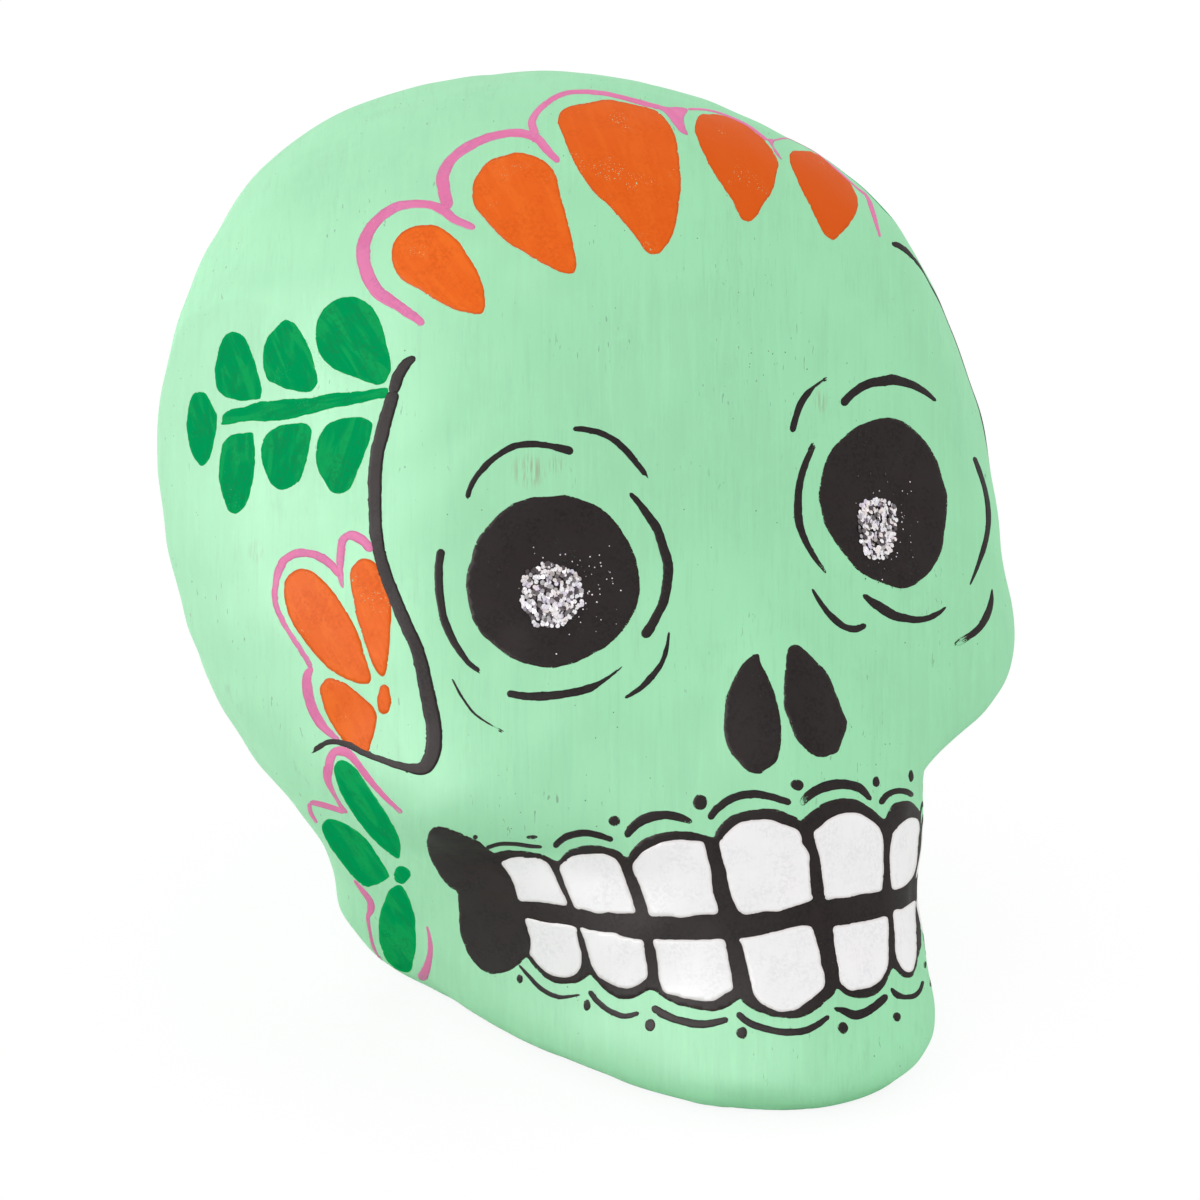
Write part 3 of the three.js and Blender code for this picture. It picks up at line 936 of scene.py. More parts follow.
def brushed_finish(name):
    """Craft paint laid with a brush. It thins to the mint ground where the brush ran dry."""
    *colours, fleck, dry, gloss, shine = COATS[name]
    light, dark, rim = (srgb(*colour) for colour in colours)
    paint = tuple(getattr(bpy.context.scene.skull_paints, name))
    ground = tuple(bpy.context.scene.skull_paints.mint)
    make = Finish(f"{name}_paint")
    place = make.places()
    grain = make.stored("grain", "Vector")
    cover = make.stored("cover", "Fac")
    hairs = make.noise(make.scaled(grain, (0.12, 2.4, 1.0)), 1.0, 3, 0.6, 0.6)
    bands = make.noise(make.scaled(grain, (0.07, 0.3, 1.0)), 1.0, 2, 0.5, 0.8)
    blotch = make.noise(place, 150, 3, 0.6)
    mottle = make.noise(place, 1100, 3, 0.7)
    grit = make.noise(place, 3200, 2, 0.6)
    colour = make.mix(make.ramp(bands, 0.45, 0.62) * 0.7, paint, light)
    inner = make.ramp(cover, 0.6, 0.9) * make.ramp(blotch, 0.36, 0.62)
    colour = make.mix(make.ramp(mottle, 0.4, 0.62) * inner * 0.75, colour, dark)
    colour = make.mix(make.ramp(hairs, 0.55, 0.75) * 0.3, colour, light)
    colour = make.mix(make.ramp(hairs, 0.45, 0.25) * 0.3, colour, dark)
    colour = make.mix(make.ramp(cover, 0.78, 0.52) * 0.6, colour, rim)
    # Painted shade: a film with depth is darkened towards the dark colour, so that petals further round to
    # the right look less lit.
    colour = make.mix(make.stored("depth", "Fac"), colour, shade(dark, 0.92))
    # Pinholes through which the ground shows, in a few patches
    pores = make.noise(place, 2400, 1, 0.5)
    patch = make.ramp(make.noise(place, 90, 2, 0.5), 0.56, 0.7)
    colour = make.mix(make.ramp(pores, 0.67, 0.72) * patch * fleck, colour, shade(ground, 1.1))
    worn = make.ramp(hairs * 0.55 + grit * 0.45 - cover * 0.8 + 0.5, 0.62, 0.7)
    colour = make.mix(worn * dry, colour, ground)
    height = hairs * 0.5 + blotch * 0.3 + grit * 0.2
    normal = make.bump(height, 0.3, 0.06 * MM)
    rough = gloss + hairs * 0.14 + blotch * 0.1 - 0.12
    return make.surface(Base_Color=colour, Roughness=rough, Specular_IOR_Level=shine, Normal=normal)


# Stage

# Each lamp's place as steps in metres from the aim back, right and up, and then its size
KEY_LAMP = (1.1, -1.0, 0.32, 1.5)
SHEEN_LAMP = (0.7, -1.0, -0.17, 1.9)
FLOOR_REACH = 12.0
FLOOR_GREY = (0.9, 0.9, 0.9, 1)
FLOOR_GLOW = 1.04
# Share of its own white that the camera sees on the floor. The rest shows the shadow.
FLOOR_GLOW_SHARE = 0.85
NEAREST_SEEN = 0.05
FURTHEST_SEEN = 50


class SKULL_OT_stage(bpy.types.Operator):
    """Sets the camera, the floor and plain soft studio light"""

    bl_idname = "skull.stage"
    bl_label = "Studio"

    def execute(self, context):
        light = context.scene.skull_light
        self.camera(context)
        self.world(context, light.fill)
        self.lamp("key", light.key, KEY_LAMP, True)
        self.lamp("sheen", light.sheen, SHEEN_LAMP, False)
        self.floor()
        context.scene.view_settings.view_transform = "Standard"
        return {"FINISHED"}

    def camera(self, context):
        data = bpy.data.cameras.new("camera")
        data.sensor_width = SENSOR_WIDTH
        data.lens = FOCAL_PIXELS / FRAME_PIXELS * SENSOR_WIDTH
        data.clip_start = NEAREST_SEEN
        data.clip_end = FURTHEST_SEEN
        camera = new_object("camera", data)
        turn = Matrix((CAMERA_RIGHT, CAMERA_UP, CAMERA_BACK)).transposed()
        camera.matrix_world = Matrix.Translation(CAMERA_EYE) @ turn.to_4x4()
        context.scene.camera = camera

    def world(self, context, fill):
        """The same light from all sides, and a white background."""
        make = Finish("studio", bpy.data.worlds.new("studio"))
        seen = make.add("ShaderNodeLightPath", output="Is Camera Ray")
        strength = seen * (1 - fill) + fill
        sky = make.add("ShaderNodeBackground", {}, {"Color": (1, 1, 1, 1), "Strength": strength})
        make.add("ShaderNodeOutputWorld", {}, {"Surface": sky})
        context.scene.world = make.material

    def lamp(self, name, power, steps, visible_diffuse):
        """A round soft lamp that faces the skull. Where it isn't visible, only glosses show it."""
        back, right, up, size = steps
        place = CAMERA_AIM + CAMERA_BACK * back + CAMERA_RIGHT * right + CAMERA_UP * up
        data = bpy.data.lights.new(name, "AREA")
        data.shape = "DISK"
        data.size = size
        data.energy = power
        lamp = new_object(name, data)
        lamp.location = place
        lamp.rotation_euler = (CAMERA_AIM - place).to_track_quat("-Z", "Y").to_euler()
        lamp.visible_diffuse = visible_diffuse

    def floor(self):
        mesh = bpy.data.meshes.new("floor")
        reach = FLOOR_REACH
        corners = [(-reach, -reach, 0), (reach, -reach, 0), (reach, reach, 0), (-reach, reach, 0)]
        mesh.from_pydata(corners, [], [(0, 1, 2, 3)])
        make = Finish("floor")
        seen = make.add("ShaderNodeLightPath", output="Is Camera Ray")
        shadowed = make.add("ShaderNodeBsdfDiffuse", {}, {"Color": FLOOR_GREY})
        lit = make.add("ShaderNodeEmission", {}, {"Color": (1, 1, 1, 1), "Strength": FLOOR_GLOW})
        shader = make.add("ShaderNodeMixShader", {}, {0: seen * FLOOR_GLOW_SHARE, 1: shadowed, 2: lit})
        make.add("ShaderNodeOutputMaterial", {}, {"Surface": shader})
        mesh.materials.append(make.material)
        new_object("floor", mesh)


# Moulded paper


class SKULL_OT_shells(bpy.types.Operator):
    """Makes the two painted halves of the moulded paper skull"""

    bl_idname = "skull.shells"
    bl_label = "Moulded halves"

    def execute(self, context):
        finish = mint_finish()
        whole = whole_shell()
        for name, keep, node in (("painted_face", -1, "face_shell"), ("painted_rear", 1, "rear_shell")):
            half = half_shell(whole, name, keep)
            half.data.materials.append(finish)
            dressed(half, "painted_shell", node)
        bpy.data.meshes.remove(whole)
        return {"FINISHED"}


class SKULL_OT_inner_paper(bpy.types.Operator):
    """Finishes the pasted strips inside the seam, the card and the paper under it"""

    bl_idname = "skull.inner_paper"
    bl_label = "Strips, card and base paper"

    STRIPS = (
        "crown_seam_strip",
        "right_upper_seam_strip",
        "right_lower_seam_strip",
        "left_upper_seam_strip",
        "left_lower_seam_strip",
    )

    def execute(self, context):
        newsprint = self.pulp("newsprint", srgb(214, 207, 188), srgb(176, 168, 150), 420, 0.85)
        board = self.pulp("grey_board", srgb(168, 150, 124), srgb(118, 100, 78), 260, 0.9)
        for name in self.STRIPS:
            self.finish(name, newsprint)
        self.finish("base_board", board)
        self.finish("base_paper", mint_finish("mint_paint_under"))
        return {"FINISHED"}

    def finish(self, name, material):
        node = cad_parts[name]
        if not node.material_slots:
            raise RuntimeError(f"{name} has no material slot")
        for slot in node.material_slots:
            slot.material = material

    def pulp(self, name, light, dark, scale, rough):
        """Raw paper with fibres that lie every way."""
        make = Finish(name)
        place = make.places()
        cloud = make.noise(place, 60, 3, 0.6)
        fibres = make.noise(make.scaled(place, (1.0, 0.35, 0.35)), scale * 3, 4, 0.7, 1.2)
        crumbs = make.add("ShaderNodeTexVoronoi", {}, {"Vector": place, "Scale": scale}, "Distance")
        colour = make.mix(make.ramp(cloud, 0.35, 0.7) * 0.5, light, dark)
        colour = make.mix(make.ramp(fibres, 0.5, 0.7) * 0.5, colour, dark)
        colour = make.mix(make.ramp(crumbs, 0.12, 0.05) * 0.6, colour, shade(dark, 0.6))
        normal = make.bump(fibres * 0.7 + cloud * 0.3, 0.5, 0.2 * MM)
        return make.surface(Base_Color=colour, Roughness=rough - fibres * 0.1, Normal=normal)


# Orange petals, in pixels of the photograph. Each row is an outline.

FOREHEAD_PETALS = (
    ((392, 260), (394, 243), (405, 230), (424, 225), (439, 227), (456, 239), (468, 256), (480, 277),
     (485, 300), (483, 312), (475, 314), (454, 309), (434, 299), (417, 288), (400, 278)),
    ((472, 192), (475, 179), (488, 162), (505, 155), (520, 153), (539, 158), (553, 170), (559, 189),
     (566, 216), (573, 243), (576, 265), (573, 273), (563, 273), (546, 265), (525, 253), (505, 240),
     (488, 223), (475, 206)),
    ((558, 121), (566, 108), (592, 102), (611, 100), (636, 105), (656, 111), (668, 122), (676, 140),
     (680, 168), (680, 197), (675, 226), (670, 240), (662, 251), (656, 254), (646, 251), (631, 231),
     (612, 209), (595, 193), (577, 168), (566, 143)),
    ((695, 129), (699, 116), (710, 114), (729, 117), (748, 127), (764, 140), (777, 159), (777, 172),
     (772, 191), (764, 203), (753, 220), (742, 219), (732, 200), (719, 181), (708, 162), (699, 143)),
    ((790, 162), (791, 152), (798, 151), (815, 153), (834, 167), (850, 183), (857, 197), (857, 210),
     (850, 223), (837, 238), (831, 239), (823, 232), (812, 210), (801, 188)),
)
TEMPLE_FLOWER = (
    ((284, 589), (288, 576), (299, 569), (311, 571), (326, 583), (341, 603), (356, 629), (365, 656),
     (371, 679), (364, 684), (346, 679), (326, 666), (306, 643), (289, 616)),
    ((350, 576), (356, 563), (365, 558), (377, 565), (387, 586), (391, 606), (390, 639), (387, 666),
     (383, 677), (375, 669), (365, 643), (356, 613)),
    ((320, 692), (324, 681), (332, 678), (349, 686), (365, 699), (376, 712), (375, 729), (371, 745),
     (367, 752), (357, 750), (342, 739), (329, 719)),
    ((377, 700), (380, 688), (384, 685), (389, 688), (391, 700), (389, 711), (384, 714), (379, 711)),
)


class SKULL_OT_petals(bpy.types.Operator):
    """Paints the orange petals over the forehead and the flower on each temple"""

    bl_idname = "skull.petals"
    bl_label = "Orange petals"

    def execute(self, context):
        finish = brushed_finish("orange")
        forehead = Paint(11)
        # Each forehead petal's grain turn, and its depth: painted shade that darkens the petals further
        # right, which turn away from the light.
        petal_turns_and_painted_shade = ((50, 0.0), (60, 0.2), (70, 0.45), (80, 0.85), (85, 1.0))
        for outline, (turn, depth) in zip(FOREHEAD_PETALS, petal_turns_and_painted_shade):
            forehead.blob(outline, grain_turn=turn, rough=0.5, depth=depth)
        forehead.piece("orange_forehead_petals", "orange_paint", finish)
        for side, mirror in both_sides(TEMPLE_MIRROR):
            flower = Paint(12)
            for outline in TEMPLE_FLOWER:
                flower.blob(outline, mirror, grain_turn=65)
            flower.piece(f"orange_{side}_temple_flower", "orange_paint", finish)
        return {"FINISHED"}


# Green leaves

TEMPLE_LEAVES = (
    ((199, 392), (205, 393), (211, 403), (217, 415), (217, 422), (214, 442), (211, 455), (207, 462),
     (202, 466), (198, 463), (191, 451), (188, 438), (187, 427), (188, 410), (191, 398), (195, 393)),
    ((234, 332), (227, 334), (221, 343), (217, 357), (215, 369), (216, 383), (218, 390), (224, 396),
     (232, 399), (241, 401), (248, 400), (259, 399), (261, 395), (262, 390), (260, 381), (256, 366),
     (250, 349), (246, 339), (240, 334)),
    ((286, 320), (281, 323), (273, 331), (267, 338), (264, 349), (263, 358), (264, 369), (268, 380),
     (275, 384), (284, 388), (293, 390), (302, 392), (310, 392), (315, 387), (318, 381), (317, 375),
     (313, 361), (309, 347), (302, 334), (295, 324), (290, 321)),
    ((347, 297), (335, 300), (323, 310), (317, 323), (316, 337), (318, 350), (327, 363), (340, 372),
     (357, 378), (370, 383), (378, 385), (385, 382), (389, 375), (391, 367), (388, 350), (383, 330),
     (378, 317), (370, 305), (358, 298)),
    ((243, 433), (253, 433), (254, 442), (255, 455), (254, 473), (251, 490), (246, 504), (240, 511),
     (235, 514), (229, 511), (224, 500), (220, 484), (219, 468), (221, 451), (224, 442), (230, 436),
     (237, 434)),
    ((301, 423), (307, 424), (311, 430), (311, 438), (309, 450), (305, 465), (301, 478), (293, 486),
     (283, 490), (275, 487), (268, 478), (263, 465), (261, 453), (262, 444), (266, 436), (273, 429),
     (281, 425), (290, 424)),
    ((354, 417), (364, 418), (372, 423), (371, 433), (369, 442), (364, 456), (358, 470), (351, 487),
     (345, 492), (338, 494), (331, 491), (325, 482), (318, 470), (316, 458), (317, 445), (321, 433),
     (328, 424), (341, 419)),
)
LEAF_STEM = (
    (222, 421), (224, 414), (232, 409), (244, 407), (253, 404), (261, 401), (272, 401), (287, 399),
    (310, 398), (327, 394), (348, 392), (364, 391), (373, 389), (386, 388), (388, 392), (387, 398),
    (376, 399), (356, 404), (333, 408), (310, 414), (290, 419), (272, 421), (253, 421), (241, 422),
    (222, 425),
)
JAW_LEAVES = (
    ((334, 769), (342, 760), (356, 769), (372, 792), (389, 818), (399, 838), (400, 856), (395, 857),
     (379, 845), (359, 822), (342, 795)),
    ((322, 827), (329, 819), (342, 822), (362, 835), (375, 851), (387, 871), (388, 878), (375, 885),
     (362, 885), (346, 868), (329, 845)),
    ((379, 921), (387, 895), (397, 885), (405, 890), (414, 914), (416, 938), (414, 958), (409, 972),
     (395, 968), (382, 951)),
    ((394, 875), (397, 867), (402, 866), (408, 869), (411, 875), (407, 881), (402, 884), (396, 881)),
)


class SKULL_OT_leaves(bpy.types.Operator):
    """Paints the green spray on each temple and the leaves on each side of the jaw"""

    bl_idname = "skull.leaves"
    bl_label = "Green leaves"

    def execute(self, context):
        finish = brushed_finish("green")
        for side, mirror in both_sides(LEAF_MIRROR):
            spray = Paint(21)
            for outline, turn in zip(TEMPLE_LEAVES, (80, 75, 65, 55, 95, 100, 105)):
                spray.blob(outline, mirror, grain_turn=turn)
            spray.blob(LEAF_STEM, mirror, grain_turn=-8)
            spray.piece(f"green_{side}_temple_leaves", "green_paint", finish)
            jaw = Paint(22)
            for outline in JAW_LEAVES:
                jaw.blob(outline, mirror, grain_turn=55)
            jaw.piece(f"green_{side}_jaw_leaves", "green_paint", finish)
        return {"FINISHED"}


# Pink scallops and lines: path, then widths

FOREHEAD_SCALLOPS = (
    (((424, 324), (400, 307), (378, 292), (367, 273), (363, 253), (368, 233), (382, 216), (400, 206),
      (424, 204), (441, 209), (454, 219), (475, 228)), (7, 11, 13, 14, 13.5, 12, 10, 9, 8, 9, 9, 6)),
    (((448, 209), (444, 189), (443, 175), (454, 157), (475, 143), (498, 135), (519, 133), (536, 138),
      (549, 152), (559, 162)), (13, 13, 12.5, 11, 9, 8, 8, 9, 8, 5)),
    (((536, 136), (532, 121), (541, 108), (556, 97), (573, 92), (601, 93), (624, 98), (646, 104),
      (660, 107)), (8, 7.5, 6, 5, 4.5, 4.5, 4.5, 5, 4)),
    (((688, 109), (707, 110), (725, 115), (747, 125), (767, 140)), (2.4, 2, 2, 2.2, 3)),
    (((774, 140), (790, 139), (815, 152), (837, 170), (857, 188), (867, 197), (874, 216), (880, 237)),
     (1.6, 1.4, 1.4, 1.6, 1.8, 4, 4, 2.5)),
)
SCALLOP_WEDGES = (
    ((653, 104), (667, 107), (680, 107), (688, 110), (684, 117), (685, 127), (688, 135), (680, 132),
     (673, 123), (667, 115), (660, 110), (652, 108)),
    ((767, 139), (775, 140), (773, 145), (778, 152), (782, 160), (775, 153), (770, 143)),
)
TEMPLE_SCALLOPS = (
    (((372, 551), (363, 541), (351, 535), (343, 540), (341, 552), (340, 567), (341, 580), (343, 588)),
     (8, 10, 9, 8, 8, 7, 5, 3)),
    (((340, 576), (332, 566), (322, 558), (308, 553), (295, 554), (284, 561), (278, 573), (275, 590),
      (276, 605), (283, 622), (293, 638), (304, 655), (311, 668)),
     (7, 8, 8, 8, 8.5, 8, 7.5, 6, 5.5, 5, 5, 5, 5)),
    (((312, 667), (307, 677), (308, 693), (313, 710), (322, 725), (332, 735), (339, 739)),
     (5, 9, 10, 10, 9, 6, 4)),
    (((329, 772), (330, 760), (335, 752), (342, 751), (350, 755), (360, 767), (373, 784), (388, 800),
      (402, 813)), (8, 9, 9, 9, 8, 7, 6, 5, 4)),
    (((328, 764), (328, 780), (334, 794), (341, 806), (347, 813)), (9, 10, 9, 8, 6)),
    (((345, 812), (327, 806), (310, 802)), (5, 6, 5)),
    (((309, 803), (311, 813), (317, 823)), (4, 4, 3)),
    (((354, 880), (362, 890), (370, 901), (371, 910), (368, 918), (370, 932), (374, 948), (382, 962)),
     (2, 5, 8, 7, 4, 3, 3, 2)),
    (((427, 926), (430, 940), (430, 953), (427, 967), (421, 980)), (2, 4, 5, 8, 12)),
)


class SKULL_OT_scallops(bpy.types.Operator):
    """Paints the pink scallops over the petals and round the flowers and leaves"""

    bl_idname = "skull.scallops"
    bl_label = "Pink scallops"

    def execute(self, context):
        finish = brushed_finish("pink")
        forehead = Paint(31, PINK_LIFT)
        for path, widths in FOREHEAD_SCALLOPS:
            forehead.stroke(path, widths, rough=0.5, end_dry=0.35)
        for outline in SCALLOP_WEDGES:
            forehead.blob(outline, grain_turn=30, rough=0.3, spacing=2.2, grid=3.2)
        forehead.piece("pink_forehead_scallops", "pink_paint", finish)
        for side, mirror in both_sides(TEMPLE_MIRROR):
            temple = Paint(32, PINK_LIFT)
            for path, widths in TEMPLE_SCALLOPS:
                temple.stroke(path, widths, mirror, rough=0.5, end_dry=0.5)
            temple.piece(f"pink_{side}_temple_scallops", "pink_paint", finish)
        return {"FINISHED"}


# Black eyes and lines

EYE_SPOTS = (
    ((562, 495), (547, 497), (535, 497), (523, 500), (512, 504), (502, 512), (495, 518), (486, 528),
     (479, 537), (474, 548), (472, 558), (468, 568), (466, 580), (467, 593), (469, 605), (472, 618),
     (477, 627), (482, 634), (487, 639), (495, 646), (505, 654), (516, 660), (528, 664), (540, 667),
     (552, 668), (561, 666), (571, 664), (584, 659), (593, 654), (605, 647), (616, 638), (626, 626),
     (633, 614), (638, 601), (640, 589), (639, 577), (636, 560), (630, 544), (622, 532), (616, 523),
     (607, 513), (593, 504), (581, 500), (571, 496)),
    ((819, 493), (823, 470), (831, 451), (848, 433), (863, 424), (882, 418), (897, 419), (912, 428),
     (925, 441), (935, 457), (941, 474), (947, 497), (945, 528), (941, 551), (932, 569), (920, 581),
     (909, 587), (897, 588), (882, 583), (863, 574), (851, 563), (836, 543), (825, 525), (821, 509)),
)
# Path, widths, and how dry the brush was at the start and end
EYE_LINES = (
    (((467, 498), (471, 486), (480, 472), (493, 459), (508, 449), (520, 445), (533, 444), (550, 446),
      (563, 449), (573, 452)), (5, 5.5, 6, 6, 6.5, 6.5, 6.5, 6.5, 7.5, 9), 0.2, 0),
    (((573, 429), (582, 429), (593, 431), (605, 435), (617, 442), (628, 453), (638, 465), (646, 475)),
     (5, 5.5, 6, 6, 6.5, 6.5, 6, 5), 0, 0.3),
    (((630, 493), (637, 501), (647, 514), (657, 529), (663, 547), (668, 565), (667, 583), (664, 600),
      (658, 613), (650, 628), (643, 637)), (4, 6, 8, 9, 9.5, 10, 10, 9.5, 9, 10, 10), 0, 0),
    (((669, 632), (667, 647), (662, 662), (653, 675), (643, 686), (633, 693), (625, 698)),
     (2, 4, 5, 6, 6, 4, 3), 0.2, 0.4),
    (((507, 693), (523, 696), (547, 696), (570, 693), (587, 689), (600, 683), (617, 671)),
     (6, 8, 8.5, 8, 8, 5, 2), 0, 0.3),
    (((441, 549), (439, 567), (439, 587), (442, 610), (448, 630), (457, 647), (468, 662), (479, 671)),
     (8.5, 8.5, 8.5, 8, 8, 7, 5.5, 4), 0, 0.2),
    (((452, 679), (462, 697), (476, 715), (500, 730)), (2, 2.4, 2.2, 1.4), 0.5, 0.9),
    (((825, 379), (815, 386), (808, 393), (801, 403), (796, 417), (792, 432)), (2, 3, 6, 7, 6.5, 6), 0.6, 0),
    (((842, 405), (853, 393), (868, 384), (883, 381), (893, 380), (910, 384), (925, 392), (936, 401)),
     (8, 8, 9, 10, 10, 8, 6, 3), 0, 0.3),
    (((814, 445), (806, 462), (800, 482), (798, 502), (799, 522), (805, 540), (815, 558), (826, 573)),
     (5, 6.5, 7, 8, 8, 6.5, 5, 2), 0.5, 0.5),
    (((974, 457), (980, 473), (985, 490), (988, 508), (988, 527), (984, 547), (978, 565), (970, 585)),
     (4, 5, 5.5, 5.5, 5, 5, 4, 1.5), 0, 0.3),
    (((812, 589), (822, 605), (832, 617), (843, 626), (855, 629), (866, 625)),
     (2.5, 5, 6.5, 6.5, 7, 6), 0.3, 0),
    (((863, 595), (877, 605), (893, 615), (910, 619), (925, 619), (937, 614), (946, 607)),
     (4, 9, 9.5, 7.5, 6, 5, 2), 0, 0.3),
    (((992, 589), (991, 602), (987, 615), (980, 627), (968, 637), (956, 644)),
     (1.5, 5, 7, 6.5, 6.5, 7), 0.2, 0.8),
)
# Where single bristles trail on: tip, the way they go, width, count and reach
EYE_BRISTLES = (
    ((645, 474), (652, 484), 5, 3, 9),
    ((478, 670), (487, 679), 4, 3, 8),
    ((468, 497), (464, 506), 4, 2, 6),
    ((824, 380), (835, 377), 3, 3, 8),
    ((811, 448), (818, 436), 5, 3, 9),
    ((500, 730), (510, 734), 3, 2, 8),
    ((617, 671), (625, 664), 2, 2, 8),
    ((792, 430), (790, 440), 5, 2, 5),
    ((958, 643), (950, 650), 6, 4, 8),
)
TEMPLE_LINES = (
    (((415, 357), (406, 364), (399, 375), (395, 386), (393, 395)), (6, 10, 12, 12, 9)),
    (((395, 391), (391, 402), (386, 418), (382, 434), (377, 455), (375, 476), (375, 496), (376, 530),
      (383, 566), (401, 613), (418, 652), (427, 692), (434, 729), (432, 755), (423, 768), (405, 767),
      (382, 760), (362, 752), (346, 744), (329, 742), (314, 750)),
     (12, 13, 14, 14, 14, 14, 13.5, 13, 12.5, 13, 13.5, 15.5, 16, 16, 14, 8, 6.5, 6, 6, 5.5, 5)),
)


class SKULL_OT_eyes(bpy.types.Operator):
    """Paints the black eyes and the broken rings of lines round them"""

    bl_idname = "skull.eyes"
    bl_label = "Black eyes"

    def execute(self, context):
        finish = brushed_finish("black")
        spots = Paint(41, BLACK_LIFT)
        for outline in EYE_SPOTS:
            spots.blob(outline, grain_turn=20)
        spots.piece("black_eye_spots", "black_paint", finish)
        lines = Paint(42, BLACK_LIFT)
        for path, widths, start, end in EYE_LINES:
            lines.stroke(path, widths, start_dry=start, end_dry=end)
        for tip, towards, width, count, reach in EYE_BRISTLES:
            lines.bristles(tip, towards, width, count, reach)
        lines.piece("black_eye_lines", "black_paint", finish)
        return {"FINISHED"}


class SKULL_OT_temple_lines(bpy.types.Operator):
    """Paints the long black line down each temple"""

    bl_idname = "skull.temple_lines"
    bl_label = "Temple lines"

    def execute(self, context):
        finish = brushed_finish("black")
        for side, mirror in both_sides(TEMPLE_MIRROR):
            line = Paint(43, BLACK_LIFT)
            for path, widths in TEMPLE_LINES:
                line.stroke(path, widths, mirror, rough=0.45, end_dry=0.3)
            line.bristles((314, 750), (308, 753), 5, 4, 5, mirror)
            line.piece(f"black_{side}_temple_line", "black_paint", finish)
        return {"FINISHED"}


NOSE_MARKS = (
    ((758, 654), (748, 659), (741, 666), (732, 683), (726, 699), (724, 721), (725, 738), (730, 751),
     (741, 765), (750, 772), (760, 774), (765, 770), (773, 765), (778, 758), (781, 740), (781, 725),
     (778, 706), (773, 689), (767, 675), (761, 664)),
    ((793, 645), (801, 647), (815, 660), (828, 675), (837, 696), (844, 715), (847, 724), (843, 739),
     (837, 752), (830, 755), (824, 757), (815, 756), (805, 749), (796, 738), (789, 721), (784, 707),
     (784, 689), (785, 669), (788, 650)),
)


class SKULL_OT_nose(bpy.types.Operator):
    """Paints the two black marks of the nose"""

    bl_idname = "skull.nose"
    bl_label = "Black nose"

    def execute(self, context):
        nose = Paint(44, BLACK_LIFT)
        for outline in NOSE_MARKS:
            nose.blob(outline, grain_turn=80)
        nose.piece("black_nose_marks", "black_paint", brushed_finish("black"))
        return {"FINISHED"}


# Mouth. It follows the photograph as far as the last tooth in sight. A mirror image of the side
# teeth and of the corner follows round the far side.

MOUTH_OUTLINE = (
    (438, 826), (455, 831), (478, 841), (487, 848), (494, 853), (502, 851), (512, 850), (524, 851),
    (536, 853), (546, 856), (554, 860), (559, 860), (564, 854), (572, 849), (582, 846), (594, 845),
    (606, 847), (616, 850), (623, 855), (628, 857), (631, 851), (637, 844), (648, 837), (667, 832),
    (683, 831), (700, 834), (713, 837), (716, 831), (724, 821), (734, 815), (746, 811), (760, 809),
    (774, 809), (786, 813), (796, 817), (800, 820), (806, 816), (814, 810), (822, 804), (832, 800),
    (844, 798), (856, 800), (866, 805), (876, 812), (884, 819), (889, 810), (894, 804), (902, 801),
    (910, 801), (916, 806), (920, 813), (921, 823), (920, 839), (918, 867), (918, 891), (916, 900),
    (919, 915), (921, 930), (921, 944), (918, 958), (914, 974), (909, 978), (903, 977), (898, 972),
    (893, 968), (889, 976), (885, 985), (879, 992), (870, 997), (860, 998), (850, 997), (843, 993),
    (837, 989), (833, 995), (824, 1003), (816, 1010), (808, 1015), (798, 1018), (786, 1018),
    (774, 1017), (762, 1013), (754, 1010), (744, 1003), (741, 999), (736, 1002), (728, 1007),
    (720, 1010), (710, 1011), (690, 1008), (678, 1005), (668, 1000), (660, 995), (651, 990),
    (644, 993), (636, 997), (628, 999), (618, 998), (608, 993), (600, 985), (594, 978), (590, 975),
    (584, 979), (576, 983), (566, 984), (556, 983), (548, 979), (540, 973), (532, 964), (527, 958),
    (523, 960), (518, 965), (508, 971), (498, 974), (488, 973), (480, 968), (469, 955), (461, 935),
    (459, 913), (457, 893), (449, 886), (439, 874), (430, 857), (427, 842), (430, 831),
)
